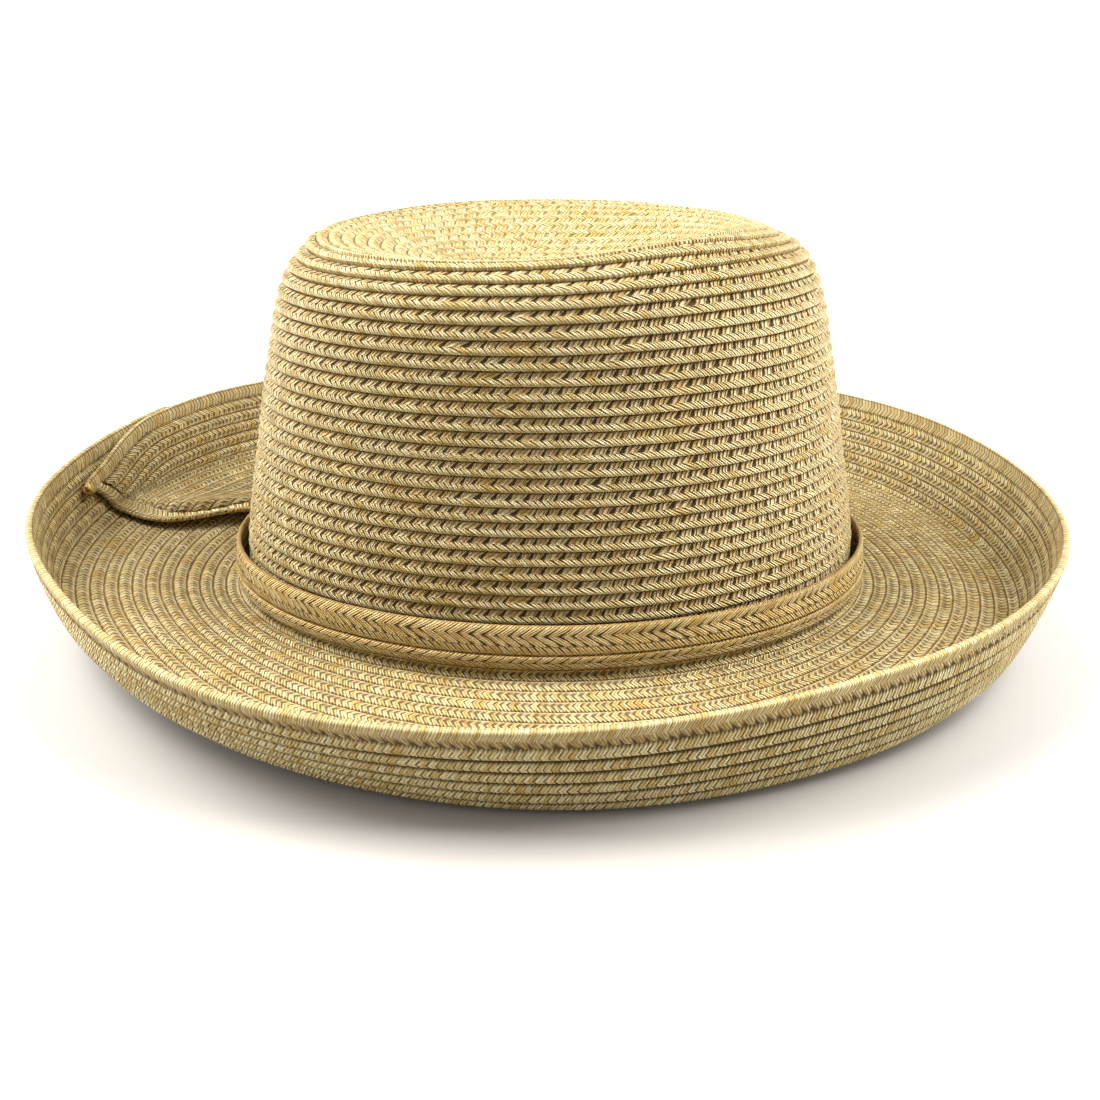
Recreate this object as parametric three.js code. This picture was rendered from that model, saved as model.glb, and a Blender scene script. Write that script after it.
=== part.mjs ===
// Kettle brim sun hat of sewn straw braid, millimetres, +Z up.
// The hat is built level on its crown's foot line, with +X towards the front of the hat and the
// split of the brim at -X, and is then leaned onto the three places of the brim that it rests on.
// The origin is at the bottom centre of the resting hat's box.
// Azimuths are in degrees: 0 is the hat's front (+X), 90 is +Y, 180 is the hat's back (-X).

import * as THREE from 'three';

// Crown sizes
const CROWN_LENGTH = 205;
const CROWN_WIDTH = 172;
const CROWN_SIDE_HEIGHT = 105;
const CROWN_WALL = 2;
const CROWN_FOOT_DROP = 1;
const RIDGE_RISE = 10;
const DISH_DEPTH = 16;
const DISH_FLOOR_SHARE = 0.25;

// Shoulder from the top row to the ridge: shares of the way in and up at which its curve is steered
const SHOULDER_STEPS = 3;
const SHOULDER_LEAN = 0.4;
const SHOULDER_CLIMB = 0.55;
const SHOULDER_CREST = 0.7;

// Rings of the dished top, as shares of the ridge's reach
const DISH_RINGS = [0.92, 0.8, 0.66, 0.52, 0.38, 0.2];

// Brim sizes
const BRIM_WIDTH = 80.9;
const BRIM_WALL = 1.8;
const COLLAR_HEIGHT = 5;
const ROOT_BEND_LENGTH = 5;
const ROOT_BEND_ANGLE = 75;
const CREASE_LENGTH = 10;
const CREASE_SHARE = 0.82;

// Corners of a brim section: shares of the root bend, the flat part, the crease and the wall
const ROOT_CORNERS = [0, 0.35, 0.7, 1];
const FLAT_CORNERS = [0.33, 0.67];
const CREASE_CORNERS = [-0.7, -0.4, -0.1, 0.2, 0.5];
const WALL_CORNERS = [0.5, 1];

// Split of the brim at the back, where one end laps over the other
const LAP_END_AZIMUTH = 161;
const LAP_OFFSET = 1.4;
const LAP_REACH = 40;
const LAP_SPREAD = 10;
const FLAP_EASE_START = 80;
const FLAP_DROP = 10;
const FLAP_DROP_REACH = 18;
const FLAP_LIFT = 2.5;
const FLAP_LIFT_REACH = 16;

// Braids sewn on
const RIM_BRAID_WIDTH = 5.5;
const RIM_BRAID_THICKNESS = 2.2;
const EDGE_BRAID_WIDTH = 5;
const EDGE_BRAID_THICKNESS = 2.2;
const BRAID_EDGE_SHARE = 0.7;
const BAND_THICKNESS = 1.6;
const BAND_FOOT = 1.4;
const LOWER_BRAID_WIDTH = 4;
const UPPER_BRAID_WIDTH = 8.4;
const BAND_LEAN = 1;

// Gap between pieces that are sewn together, and the slack that the resting underside takes up
const CLEARANCE = 0.3;
const REST_SLACK = 0.4;

// Steps round the hat, and steps of arc length when a brim section is traced
const AZIMUTH_STEPS = 60;
const TRACE_STEP = 0.5;

// Search for the resting lean: the steepest slope of the ground that is tried, and its steps
const STEEPEST_LEAN = 0.3;
const LEAN_SEARCH_STEPS = 50;

// Crown side from foot to top row: height as a share of the side's height, girth as a share of the
// foot's, and how far the row follows the ridge where that stands higher than at the near side
const CROWN_SIDE = [
  { height: 0.0, girth: 1.0, follow: 0 },
  { height: 0.15, girth: 0.997, follow: 0 },
  { height: 0.26, girth: 0.977, follow: 0 },
  { height: 0.41, girth: 0.945, follow: 0 },
  { height: 0.57, girth: 0.914, follow: 0 },
  { height: 0.72, girth: 0.881, follow: 0.1 },
  { height: 0.87, girth: 0.84, follow: 0.3 },
  { height: 0.94, girth: 0.811, follow: 0.45 },
  { height: 0.973, girth: 0.789, follow: 0.5 },
  { height: 1.0, girth: 0.76, follow: 0.6 },
];

// Ridge round the dished top: reach as a share of the top row, rise as a share of the ridge's rise
const RIDGE = [
  { azimuth: 0, reach: 0.81, rise: 0.74 },
  { azimuth: 30, reach: 0.87, rise: 0.82 },
  { azimuth: 60, reach: 0.92, rise: 0.95 },
  { azimuth: 90, reach: 0.92, rise: 1.0 },
  { azimuth: 120, reach: 0.92, rise: 0.95 },
  { azimuth: 150, reach: 0.92, rise: 0.72 },
  { azimuth: 180, reach: 0.94, rise: 0.5 },
  { azimuth: 210, reach: 0.93, rise: 0.3 },
  { azimuth: 240, reach: 0.93, rise: 0.25 },
  { azimuth: 270, reach: 0.93, rise: 0.37 },
  { azimuth: 300, reach: 0.9, rise: 0.75 },
  { azimuth: 330, reach: 0.83, rise: 0.88 },
];

// Brim sections round the hat: fall of the flat part in degrees below level, where the brim turns
// up as a share of its width, and the angle of the turned-up wall above level
const BRIM_SECTIONS = [
  { azimuth: 0, fall: -2, turn: 0.628, wall: 70 },
  { azimuth: 30, fall: -8, turn: 0.584, wall: 67 },
  { azimuth: 60, fall: -10, turn: 0.588, wall: 73.5 },
  { azimuth: 90, fall: -14.5, turn: 0.615, wall: 82 },
  { azimuth: 120, fall: -16.5, turn: 0.635, wall: 86 },
  { azimuth: 150, fall: -18, turn: 0.65, wall: 84.5 },
  { azimuth: 180, fall: -13, turn: 0.71, wall: 86 },
  { azimuth: 210, fall: -8, turn: 0.702, wall: 81 },
  { azimuth: 240, fall: 7, turn: 0.628, wall: 67 },
  { azimuth: 270, fall: 13.5, turn: 0.62, wall: 77 },
  { azimuth: 300, fall: 13, turn: 0.607, wall: 83 },
  { azimuth: 330, fall: 3, turn: 0.65, wall: 80 },
];

// Free edge of the flap: azimuth against the share of the brim's width from root to rim
const FLAP_EDGE = [
  { share: 0, azimuth: 158.5 },
  { share: 0.12, azimuth: 159.5 },
  { share: 0.28, azimuth: 163 },
  { share: 0.48, azimuth: 170.5 },
  { share: 0.69, azimuth: 173 },
  { share: 0.92, azimuth: 176.5 },
  { share: 1, azimuth: 178.5 },
];

const NEAR_SIDE_RISE = RIDGE.find((row) => row.azimuth === 270).rise;

const radians = THREE.MathUtils.degToRad;
const lerp = THREE.MathUtils.lerp;

function smooth(value) {
  const x = THREE.MathUtils.clamp(value, 0, 1);
  return x * x * (3 - 2 * x);
}

// Catmull-Rom value between four equally spaced neighbours
function between(before, left, right, after, x) {
  const slopeLeft = (right - before) / 2;
  const slopeRight = (after - left) / 2;
  const x2 = x * x;
  const x3 = x2 * x;
  return (2 * x3 - 3 * x2 + 1) * left + (x3 - 2 * x2 + x) * slopeLeft
    + (3 * x2 - 2 * x3) * right + (x3 - x2) * slopeRight;
}

// Value of a column at an azimuth, in a table with equally spaced rows that goes once round
function aroundTable(table, column, azimuth) {
  const count = table.length;
  const position = THREE.MathUtils.euclideanModulo(azimuth, 360) / 360 * count;
  const index = Math.floor(position) % count;
  const row = (step) => table[(index + step + count) % count][column];
  return between(row(-1), row(0), row(1), row(2), position - Math.floor(position));
}

// Value of a column along a table whose rows are sorted by the key column
function alongTable(table, key, column, value) {
  const last = table.length - 1;
  if (value <= table[0][key]) return table[0][column];
  if (value >= table[last][key]) return table[last][column];
  const index = table.findIndex((row) => row[key] > value) - 1;
  const span = table[index + 1][key] - table[index][key];
  return lerp(table[index][column], table[index + 1][column], (value - table[index][key]) / span);
}

// Closed geometry from a grid of points: columns go round or along, each column is a closed loop
function loopGeometry(columns, closesRound) {
  const count = columns[0].length;
  const positions = columns.flat().flatMap((point) => point.toArray());
  const faces = [];
  const addQuad = (a, b, c, d) => faces.push(a, b, c, a, c, d);
  const spans = closesRound ? columns.length : columns.length - 1;
  for (let i = 0; i < spans; i += 1) {
    const here = i * count;
    const next = ((i + 1) % columns.length) * count;
    for (let k = 0; k < count; k += 1) {
      const up = (k + 1) % count;
      addQuad(here + k, next + k, next + up, here + up);
    }
  }
  if (!closesRound) {
    addEndCap(faces, 0, count, false);
    addEndCap(faces, (columns.length - 1) * count, count, true);
  }
  return geometryFrom(positions, faces);
}

// Flat cap of a strip's end, whose loop runs out along one face and back along the other
function addEndCap(faces, first, count, flipped) {
  const half = count / 2;
  for (let k = 0; k < half - 1; k += 1) {
    const a = first + k;
    const b = first + k + 1;
    const c = first + count - 2 - k;
    const d = first + count - 1 - k;
    if (flipped) faces.push(a, c, b, a, d, c);
    else faces.push(a, b, c, a, c, d);
  }
}

function geometryFrom(positions, faces) {
  const geometry = new THREE.BufferGeometry();
  geometry.setAttribute('position', new THREE.Float32BufferAttribute(positions, 3));
  geometry.setIndex(faces);
  geometry.computeVertexNormals();
  return geometry;
}

function strawMesh(name, geometry, colour, roughness) {
  const material = new THREE.MeshStandardMaterial({ color: colour, roughness, metalness: 0 });
  const mesh = new THREE.Mesh(geometry, material);
  mesh.name = name;
  return mesh;
}

function roundAzimuths() {
  return Array.from({ length: AZIMUTH_STEPS }, (_, i) => (i * 360) / AZIMUTH_STEPS);
}

// Point on the crown's outline at a height and a share of the foot's girth
function crownPoint(azimuth, girth, height) {
  const angle = radians(azimuth);
  const x = (CROWN_LENGTH / 2) * girth * Math.cos(angle);
  const y = (CROWN_WIDTH / 2) * girth * Math.sin(angle);
  return new THREE.Vector3(x, y, height);
}

// Outside of the crown at one azimuth, from the foot over the ridge to the edge of the dish's middle
function crownSection(azimuth) {
  const top = CROWN_SIDE[CROWN_SIDE.length - 1];
  const ridgeGirth = top.girth * aroundTable(RIDGE, 'reach', azimuth);
  const ridgeRise = aroundTable(RIDGE, 'rise', azimuth);
  const ridgeHeight = CROWN_SIDE_HEIGHT + RIDGE_RISE * ridgeRise;
  const rowHeight = (row) => (
    row.height * CROWN_SIDE_HEIGHT + row.follow * RIDGE_RISE * (ridgeRise - NEAR_SIDE_RISE));
  const floorHeight = CROWN_SIDE_HEIGHT + RIDGE_RISE - DISH_DEPTH;
  const points = [crownPoint(azimuth, 1, -CROWN_FOOT_DROP)];
  for (const row of CROWN_SIDE.slice(1)) {
    points.push(crownPoint(azimuth, row.girth, rowHeight(row)));
  }
  const shoulderPoint = (lean, climb) => new THREE.Vector2(
    lerp(top.girth, ridgeGirth, lean), lerp(rowHeight(top), ridgeHeight, climb));
  const shoulder = new THREE.CubicBezierCurve(
    shoulderPoint(0, 0), shoulderPoint(SHOULDER_LEAN, SHOULDER_CLIMB),
    shoulderPoint(SHOULDER_CREST, 1), shoulderPoint(1, 1));
  for (const point of shoulder.getPoints(SHOULDER_STEPS).slice(1)) {
    points.push(crownPoint(azimuth, point.x, point.y));
  }
  for (const share of DISH_RINGS) {
    const climb = smooth((share - DISH_FLOOR_SHARE) / (1 - DISH_FLOOR_SHARE));
    points.push(crownPoint(azimuth, ridgeGirth * share, lerp(floorHeight, ridgeHeight, climb)));
  }
  return points;
}

// Crown: a straw shell that is open at its foot, with the inside a wall's thickness under the outside
function crownGeometry() {
  const outside = roundAzimuths().map(crownSection);
  const rings = outside[0].length;
  const apex = new THREE.Vector3(0, 0, outside[0][rings - 1].z);
  const inside = outside.map((section, i) => {
    const before = outside[(i + outside.length - 1) % outside.length];
    const after = outside[(i + 1) % outside.length];
    return section.map((point, k) => {
      const round = after[k].clone().sub(before[k]);
      const upper = k === rings - 1 ? apex : section[k + 1];
      const up = upper.clone().sub(section[Math.max(k - 1, 0)]);
      const outward = round.cross(up).normalize();
      if (k === 0) outward.setZ(0).normalize();
      return point.clone().addScaledVector(outward, -CROWN_WALL);
    });
  });
  const positions = [...outside, ...inside].flat().flatMap((point) => point.toArray());
  positions.push(0, 0, apex.z, 0, 0, apex.z - CROWN_WALL);
  const faces = [];
  const addQuad = (a, b, c, d) => faces.push(a, b, c, a, c, d);
  const columns = outside.length;
  const outerApex = 2 * columns * rings;
  for (let i = 0; i < columns; i += 1) {
    const out = i * rings;
    const outNext = ((i + 1) % columns) * rings;
    const inn = (columns + i) * rings;
    const innNext = (columns + ((i + 1) % columns)) * rings;
    for (let k = 0; k < rings - 1; k += 1) {
      addQuad(out + k, outNext + k, outNext + k + 1, out + k + 1);
      addQuad(inn + k, inn + k + 1, innNext + k + 1, innNext + k);
    }
    addQuad(out, inn, innNext, outNext);
    faces.push(out + rings - 1, outNext + rings - 1, outerApex);
    faces.push(inn + rings - 1, outerApex + 1, innNext + rings - 1);
  }
  return geometryFrom(positions, faces);
}

// Middle of the brim's straw traced out from the crown: reach, height and heading at each step.
// Reach is counted from the collar, and a heading is an angle above level.
const sectionTraces = new Map();

function brimTrace(azimuth) {
  const key = azimuth.toFixed(3);
  if (sectionTraces.has(key)) return sectionTraces.get(key);
  const fall = radians(aroundTable(BRIM_SECTIONS, 'fall', azimuth));
  const wall = radians(aroundTable(BRIM_SECTIONS, 'wall', azimuth));
  const turn = BRIM_WIDTH * aroundTable(BRIM_SECTIONS, 'turn', azimuth);
  const root = radians(ROOT_BEND_ANGLE);
  const heading = (along) => {
    const bend = THREE.MathUtils.clamp(along / ROOT_BEND_LENGTH, 0, 1);
    const crease = smooth((along - turn) / CREASE_LENGTH + 0.5);
    const upper = THREE.MathUtils.clamp((along - turn) / (BRIM_WIDTH - turn), 0, 1);
    const risen = CREASE_SHARE * crease + (1 - CREASE_SHARE) * upper;
    return lerp(-root, -fall, bend) + (wall + fall) * risen;
  };
  const trace = [{ reach: 0, height: 0, heading: -root }];
  for (let along = 0; along < BRIM_WIDTH + TRACE_STEP; along += TRACE_STEP) {
    const last = trace[trace.length - 1];
    const middle = heading(along + TRACE_STEP / 2);
    trace.push({
      reach: last.reach + TRACE_STEP * Math.cos(middle),
      height: last.height + TRACE_STEP * Math.sin(middle),
      heading: heading(along + TRACE_STEP),
    });
  }
  sectionTraces.set(key, trace);
  return trace;
}

// Offset of the straw from the middle surface where the two ends of the brim lap: the lower end
// goes under, the flap goes over it and lifts at its free edge. A turn past 360 is the flap's.
function lapOffset(turned, along) {
  const spread = smooth(along / LAP_SPREAD);
  const under = 1 - smooth((turned - LAP_END_AZIMUTH - LAP_REACH / 2) / LAP_REACH);
  const over = smooth((turned - 360 - FLAP_EASE_START) / LAP_REACH);
  const nearEdge = smooth((turned - 360 - LAP_END_AZIMUTH) / FLAP_LIFT_REACH);
  const lift = FLAP_LIFT * nearEdge * Math.sin(Math.PI * Math.min(along / BRIM_WIDTH, 1));
  return spread * (LAP_OFFSET * (over - under) + lift);
}

// Point of the brim at a turn round the hat, a length along the straw from the collar's foot and a
// height above the straw's middle surface. Negative lengths climb the collar.
function brimPoint(turned, along, above) {
  const angle = radians(turned);
  const collarGap = CLEARANCE + BRIM_WALL / 2;
  const halfLength = CROWN_LENGTH / 2 + collarGap;
  const halfWidth = CROWN_WIDTH / 2 + collarGap;
  const outward = new THREE.Vector2(halfWidth * Math.cos(angle), halfLength * Math.sin(angle)).normalize();
  if (along < 0) {
    const x = halfLength * Math.cos(angle) + outward.x * above;
    const y = halfWidth * Math.sin(angle) + outward.y * above;
    return new THREE.Vector3(x, y, -along);
  }
  const trace = brimTrace(THREE.MathUtils.euclideanModulo(turned, 360));
  const position = along / TRACE_STEP;
  const index = Math.min(Math.floor(position), trace.length - 2);
  const mix = (column) => lerp(trace[index][column], trace[index + 1][column], position - index);
  const heading = mix('heading');
  const lifted = above + lapOffset(turned, along);
  const reach = mix('reach') - lifted * Math.sin(heading);
  const x = halfLength * Math.cos(angle) + outward.x * reach;
  const y = halfWidth * Math.sin(angle) + outward.y * reach;
  return new THREE.Vector3(x, y, mix('height') + lifted * Math.cos(heading));
}

// How far along the straw the rim lies: the flap's rim drops inside the lower end's rim
function rimLength(turned) {
  return BRIM_WIDTH - FLAP_DROP * smooth((turned - 360 - LAP_END_AZIMUTH) / FLAP_DROP_REACH);
}

// Turn of the flap's free edge at a share of its width, less a width of straw kept back from it
function flapEdgeTurn(share, keptBack) {
  const edge = 360 + alongTable(FLAP_EDGE, 'share', 'azimuth', share);
  const along = share * rimLength(360 + FLAP_EDGE[FLAP_EDGE.length - 1].azimuth);
  const here = brimPoint(edge, along, 0);
  const there = brimPoint(edge - 1, along, 0);
  return edge - keptBack / Math.hypot(here.x - there.x, here.y - there.y);
}

// A column's turn at a share of the width, drawn out to follow the slanting edge of the flap
function slantedTurn(turned, share, keptBack) {
  const end = 360 + FLAP_EDGE[0].azimuth;
  const start = 360 + FLAP_EASE_START;
  const pull = THREE.MathUtils.clamp((turned - start) / (end - start), 0, 1);
  return turned + pull * (flapEdgeTurn(Math.max(share, 0), keptBack) - end);
}

// Length of a column of the brim along the straw, from the collar's foot to the rim
function columnLength(turned) {
  return rimLength(slantedTurn(turned, 1, 0));
}

// Lengths along the straw at which a brim section has its corners, from the collar to the rim braid
function brimStations(turned) {
  const length = columnLength(turned);
  const turn = length * aroundTable(BRIM_SECTIONS, 'turn', turned);
  const flatEnd = turn + CREASE_CORNERS[0] * CREASE_LENGTH;
  const wallStart = turn + CREASE_CORNERS[CREASE_CORNERS.length - 1] * CREASE_LENGTH;
  const wallEnd = length - RIM_BRAID_WIDTH - CLEARANCE;
  return [
    -COLLAR_HEIGHT,
    ...ROOT_CORNERS.map((share) => share * ROOT_BEND_LENGTH),
    ...FLAT_CORNERS.map((share) => lerp(ROOT_BEND_LENGTH, flatEnd, share)),
    ...CREASE_CORNERS.map((share) => turn + share * CREASE_LENGTH),
    ...WALL_CORNERS.map((share) => lerp(wallStart, wallEnd, share)),
  ];
}

// Turns of the columns from the lower end, once round and on to the flap's edge
function brimTurns() {
  const steps = AZIMUTH_STEPS + 2;
  const end = 360 + FLAP_EDGE[0].azimuth;
  return Array.from({ length: steps + 1 }, (_, i) => lerp(LAP_END_AZIMUTH, end, i / steps));
}

function brimGeometry() {
  const keptBack = EDGE_BRAID_WIDTH + CLEARANCE;
  const columns = brimTurns().map((turned) => {
    const length = columnLength(turned);
    const corners = brimStations(turned).map((along) => {
      const slanted = slantedTurn(turned, along / length, keptBack);
      return { slanted, along };
    });
    const face = (side) => corners.map((corner) => (
      brimPoint(corner.slanted, corner.along, (side * BRIM_WALL) / 2)));
    return [...face(-1), ...face(1).reverse()];
  });
  return loopGeometry(columns, false);
}

// Loop of a flat braid's section, fuller in its middle, from a function of inset and height
function braidSection(at) {
  const edge = BRAID_EDGE_SHARE;
  return [at(1, -edge), at(0.5, -1), at(0, -edge), at(0, edge), at(0.5, 1), at(1, edge)];
}

// Rim braid: a flat braid that finishes the brim's edge
function rimBraidGeometry() {
  const half = RIM_BRAID_THICKNESS / 2;
  const columns = brimTurns().map((turned) => {
    const length = columnLength(turned);
    const slanted = slantedTurn(turned, 1, 0);
    const at = (inset, above) => brimPoint(slanted, length - inset * RIM_BRAID_WIDTH, above * half);
    return braidSection(at);
  });
  return loopGeometry(columns, false);
}

// Edge braid: the same braid along the flap's free edge, from the root bend to the rim braid
function flapEdgeGeometry() {
  const half = EDGE_BRAID_THICKNESS / 2;
  const lastTurn = 360 + FLAP_EDGE[0].azimuth;
  const length = columnLength(lastTurn);
  const stations = brimStations(lastTurn).filter((along) => along >= ROOT_BEND_LENGTH);
  const columns = stations.map((along) => {
    const at = (inset, above) => {
      const turned = flapEdgeTurn(along / length, inset * EDGE_BRAID_WIDTH);
      return brimPoint(turned, along, above * half);
    };
    return braidSection(at).reverse();
  });
  return loopGeometry(columns, false);
}

// One braid of the hat band: it clears the brim's collar and stands off the crown above it
function bandBraidGeometry(foot, width) {
  const inner = 2 * CLEARANCE + BRIM_WALL;
  const columns = roundAzimuths().map((azimuth) => {
    const angle = radians(azimuth);
    const normal = new THREE.Vector2(CROWN_WIDTH * Math.cos(angle), CROWN_LENGTH * Math.sin(angle));
    normal.normalize();
    const at = (share, beyond) => {
      const height = foot + share * width;
      const lean = BAND_LEAN * Math.max(height - COLLAR_HEIGHT, 0) / UPPER_BRAID_WIDTH;
      const offset = inner + beyond * BAND_THICKNESS - lean;
      const x = (CROWN_LENGTH / 2) * Math.cos(angle) + normal.x * offset;
      const y = (CROWN_WIDTH / 2) * Math.sin(angle) + normal.y * offset;
      return new THREE.Vector3(x, y, height);
    };
    const edge = BRAID_EDGE_SHARE;
    return [at(0, 0), at(0, edge), at(0.5, 1), at(1, edge), at(1, 0)];
  });
  return loopGeometry(columns, true);
}

// Highest plane under all points, z = level + slopeX x + slopeY y: the ground the hat settles on
function restingPlane(points) {
  const level = (slopeX, slopeY) => points.reduce(
    (least, point) => Math.min(least, point.z - slopeX * point.x - slopeY * point.y), Infinity);
  const best = (measure) => {
    let low = -STEEPEST_LEAN;
    let high = STEEPEST_LEAN;
    for (let i = 0; i < LEAN_SEARCH_STEPS; i += 1) {
      const third = (high - low) / 3;
      if (measure(low + third) < measure(high - third)) low += third;
      else high -= third;
    }
    return (low + high) / 2;
  };
  const bestY = (slopeX) => best((slopeY) => level(slopeX, slopeY));
  const slopeX = best((slope) => level(slope, bestY(slope)));
  const slopeY = bestY(slopeX);
  return { slopeX, slopeY, level: level(slopeX, slopeY) };
}

function verticesOf(geometry) {
  const position = geometry.getAttribute('position');
  const vertex = (_, i) => new THREE.Vector3().fromBufferAttribute(position, i);
  return Array.from({ length: position.count }, vertex);
}

// Bring the brim's corners that nearly touch the ground down to it, so that it rests on flat facets
function settleOnGround(geometry, plane) {
  const position = geometry.getAttribute('position');
  verticesOf(geometry).forEach((point, i) => {
    const ground = plane.level + plane.slopeX * point.x + plane.slopeY * point.y;
    if (point.z - ground < REST_SLACK) position.setZ(i, ground);
  });
}

function buildHat() {
  const brim = brimGeometry();
  const plane = restingPlane(verticesOf(brim));
  settleOnGround(brim, plane);
  const upperFoot = BAND_FOOT + LOWER_BRAID_WIDTH + CLEARANCE;
  const hat = new THREE.Group();
  hat.add(
    strawMesh('crown', crownGeometry(), 0xcdb67e, 0.75),
    strawMesh('brim', brim, 0xc4ab78, 0.75),
    strawMesh('rim_braid', rimBraidGeometry(), 0xbca16d, 0.75),
    strawMesh('flap_edge_braid', flapEdgeGeometry(), 0xbd9f62, 0.75),
    strawMesh('band_lower_braid', bandBraidGeometry(BAND_FOOT, LOWER_BRAID_WIDTH), 0xbb9a55, 0.7),
    strawMesh('band_upper_braid', bandBraidGeometry(upperFoot, UPPER_BRAID_WIDTH), 0xc0a05c, 0.7),
  );
  const up = new THREE.Vector3(-plane.slopeX, -plane.slopeY, 1).normalize();
  hat.quaternion.setFromUnitVectors(up, new THREE.Vector3(0, 0, 1));
  hat.updateMatrixWorld(true);
  const box = new THREE.Box3().setFromObject(hat, true);
  hat.position.set(-(box.min.x + box.max.x) / 2, -(box.min.y + box.max.y) / 2, -box.min.z);
  const resting = new THREE.Group();
  resting.add(hat);
  resting.updateMatrixWorld(true);
  return resting;
}

export default buildHat();
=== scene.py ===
"""Kettle brim straw hat: each braid row of its crown and brim, its plaited rim and its band."""

import math

import bpy
import numpy as np
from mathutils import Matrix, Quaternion, Vector


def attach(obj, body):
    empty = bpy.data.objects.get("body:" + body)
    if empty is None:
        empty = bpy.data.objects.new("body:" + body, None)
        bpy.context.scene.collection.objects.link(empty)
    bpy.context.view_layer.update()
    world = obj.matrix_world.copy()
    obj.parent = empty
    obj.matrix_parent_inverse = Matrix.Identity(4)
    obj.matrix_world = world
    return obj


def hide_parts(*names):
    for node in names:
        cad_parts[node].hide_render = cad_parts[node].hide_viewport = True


bl_info = {
    "name": "Kettle brim straw hat",
    "version": (1, 0, 0),
    "blender": (4, 5, 0),
    "location": "View3D > Sidebar > Straw hat",
    "description": "Builds a sewn straw braid hat, row by row, and a small studio for it",
    "category": "Add Mesh",
}

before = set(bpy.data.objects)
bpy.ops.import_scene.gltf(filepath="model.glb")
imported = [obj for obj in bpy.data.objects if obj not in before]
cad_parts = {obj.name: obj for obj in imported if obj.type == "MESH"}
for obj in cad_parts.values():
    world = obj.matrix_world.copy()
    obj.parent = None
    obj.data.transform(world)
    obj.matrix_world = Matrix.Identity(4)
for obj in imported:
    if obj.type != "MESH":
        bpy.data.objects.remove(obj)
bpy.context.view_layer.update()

MM = 0.001
SMOOTH_ANGLE = math.radians(55)
MERGE_DISTANCE = 0.002 * MM
NO_NORMAL = 1e-9
ROW_EDGE = 1e-6
FOOT_RING_HEIGHT = 14 * MM


def table(names, *rows):
    """Rows of values under named columns."""
    return tuple(dict(zip(names.split(), row)) for row in rows)


# Crown, in metres
CROWN_LENGTH = 0.205
CROWN_WIDTH = 0.172
CROWN_SIDE_HEIGHT = 0.105
CROWN_WALL = 0.002
CROWN_FOOT_DROP = 0.001
RIDGE_RISE = 0.010
DISH_DEPTH = 0.016
DISH_FLOOR_SHARE = 0.25
SHOULDER_LEAN = 0.4
SHOULDER_CLIMB = 0.55
SHOULDER_CREST = 0.7
STEEP_ROWS = 0.4
STEEP_REACH = 1.2

# Brim, in metres and degrees
BRIM_WIDTH = 0.0809
BRIM_WALL = 0.0018
COLLAR_HEIGHT = 0.005
ROOT_BEND_LENGTH = 0.005
ROOT_BEND_ANGLE = 75
CREASE_LENGTH = 0.010
CREASE_SHARE = 0.82

# Split of the brim, in degrees and metres
LAP_END_AZIMUTH = 161
UNDER_FLAP = 4.5
LAP_OFFSET = 0.0014
LAP_REACH = 40
LAP_SPREAD = 0.010
FLAP_EASE_START = 80
FLAP_DROP = 0.0085
FLAP_DROP_REACH = 18
FLAP_LIFT_REACH = 15
FLAP_DROOP = 0.0030
FLAP_DROOP_REACH = 3.4
FLAP_DROP_START = 0.42

# Braids sewn on, in metres
RIM_BRAID_WIDTH = 0.0055
RIM_BRAID_THICKNESS = 0.0022
EDGE_BRAID_WIDTH = 0.005
EDGE_BRAID_THICKNESS = 0.0022
BAND_THICKNESS = 0.0016
BAND_FOOT = 0.0014
LOWER_BRAID_WIDTH = 0.004
UPPER_BRAID_WIDTH = 0.0084
BAND_LEAN = 0.001
CLEARANCE = 0.0003

# Crown side from foot to top row, as shares of the side's height and of the foot's girth
CROWN_SIDE = table("height girth follow",
    (0, 1, 0), (0.15, 0.986, 0), (0.26, 0.968, 0), (0.41, 0.938, 0), (0.57, 0.909, 0),
    (0.72, 0.877, 0.1), (0.87, 0.84, 0.3), (0.94, 0.811, 0.45), (0.973, 0.789, 0.5), (1, 0.76, 0.6))

# Ridge round the dished top: reach as a share of the top row, rise as a share of the ridge's rise
RIDGE = table("azimuth reach rise",
    (0, 0.81, 0.74), (30, 0.87, 0.82), (60, 0.92, 0.95), (90, 0.92, 1), (120, 0.92, 0.95),
    (150, 0.92, 0.72), (180, 0.94, 0.5), (210, 0.93, 0.3), (240, 0.93, 0.25), (270, 0.93, 0.37),
    (300, 0.9, 0.75), (330, 0.83, 0.88))
NEAR_SIDE_RISE = 0.37

# Brim sections: fall of the flat part, where it turns up as a share of the width, slope of the wall
BRIM_SECTIONS = table("azimuth fall turn wall",
    (0, -2, 0.628, 70), (30, -8, 0.584, 67), (60, -10, 0.588, 73.5), (90, -14.5, 0.615, 82),
    (120, -16.5, 0.635, 86), (150, -18, 0.65, 84.5), (180, -13, 0.71, 86), (210, -8, 0.702, 81),
    (240, 7, 0.628, 67), (270, 13.5, 0.62, 77), (300, 13, 0.607, 83), (330, 3, 0.65, 80))

# Free edge of the flap, from root to rim
FLAP_EDGE = table("share azimuth",
    (0, 158.5), (0.12, 159.2), (0.22, 161.0), (0.31, 164.5), (0.4, 169.5), (0.5, 173.2),
    (0.62, 174.3), (0.75, 173.8), (0.88, 174.8), (1, 178.5))

# How far the flap's free edge stands off the brim below it, from root to rim
FLAP_LIFT = table("share lift",
    (0, 0), (0.08, 2.0 * MM), (0.16, 4.8 * MM), (0.24, 5.2 * MM), (0.33, 4.6 * MM), (0.5, 4.2 * MM),
    (0.75, 2.6 * MM), (1, 0.3 * MM))

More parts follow.
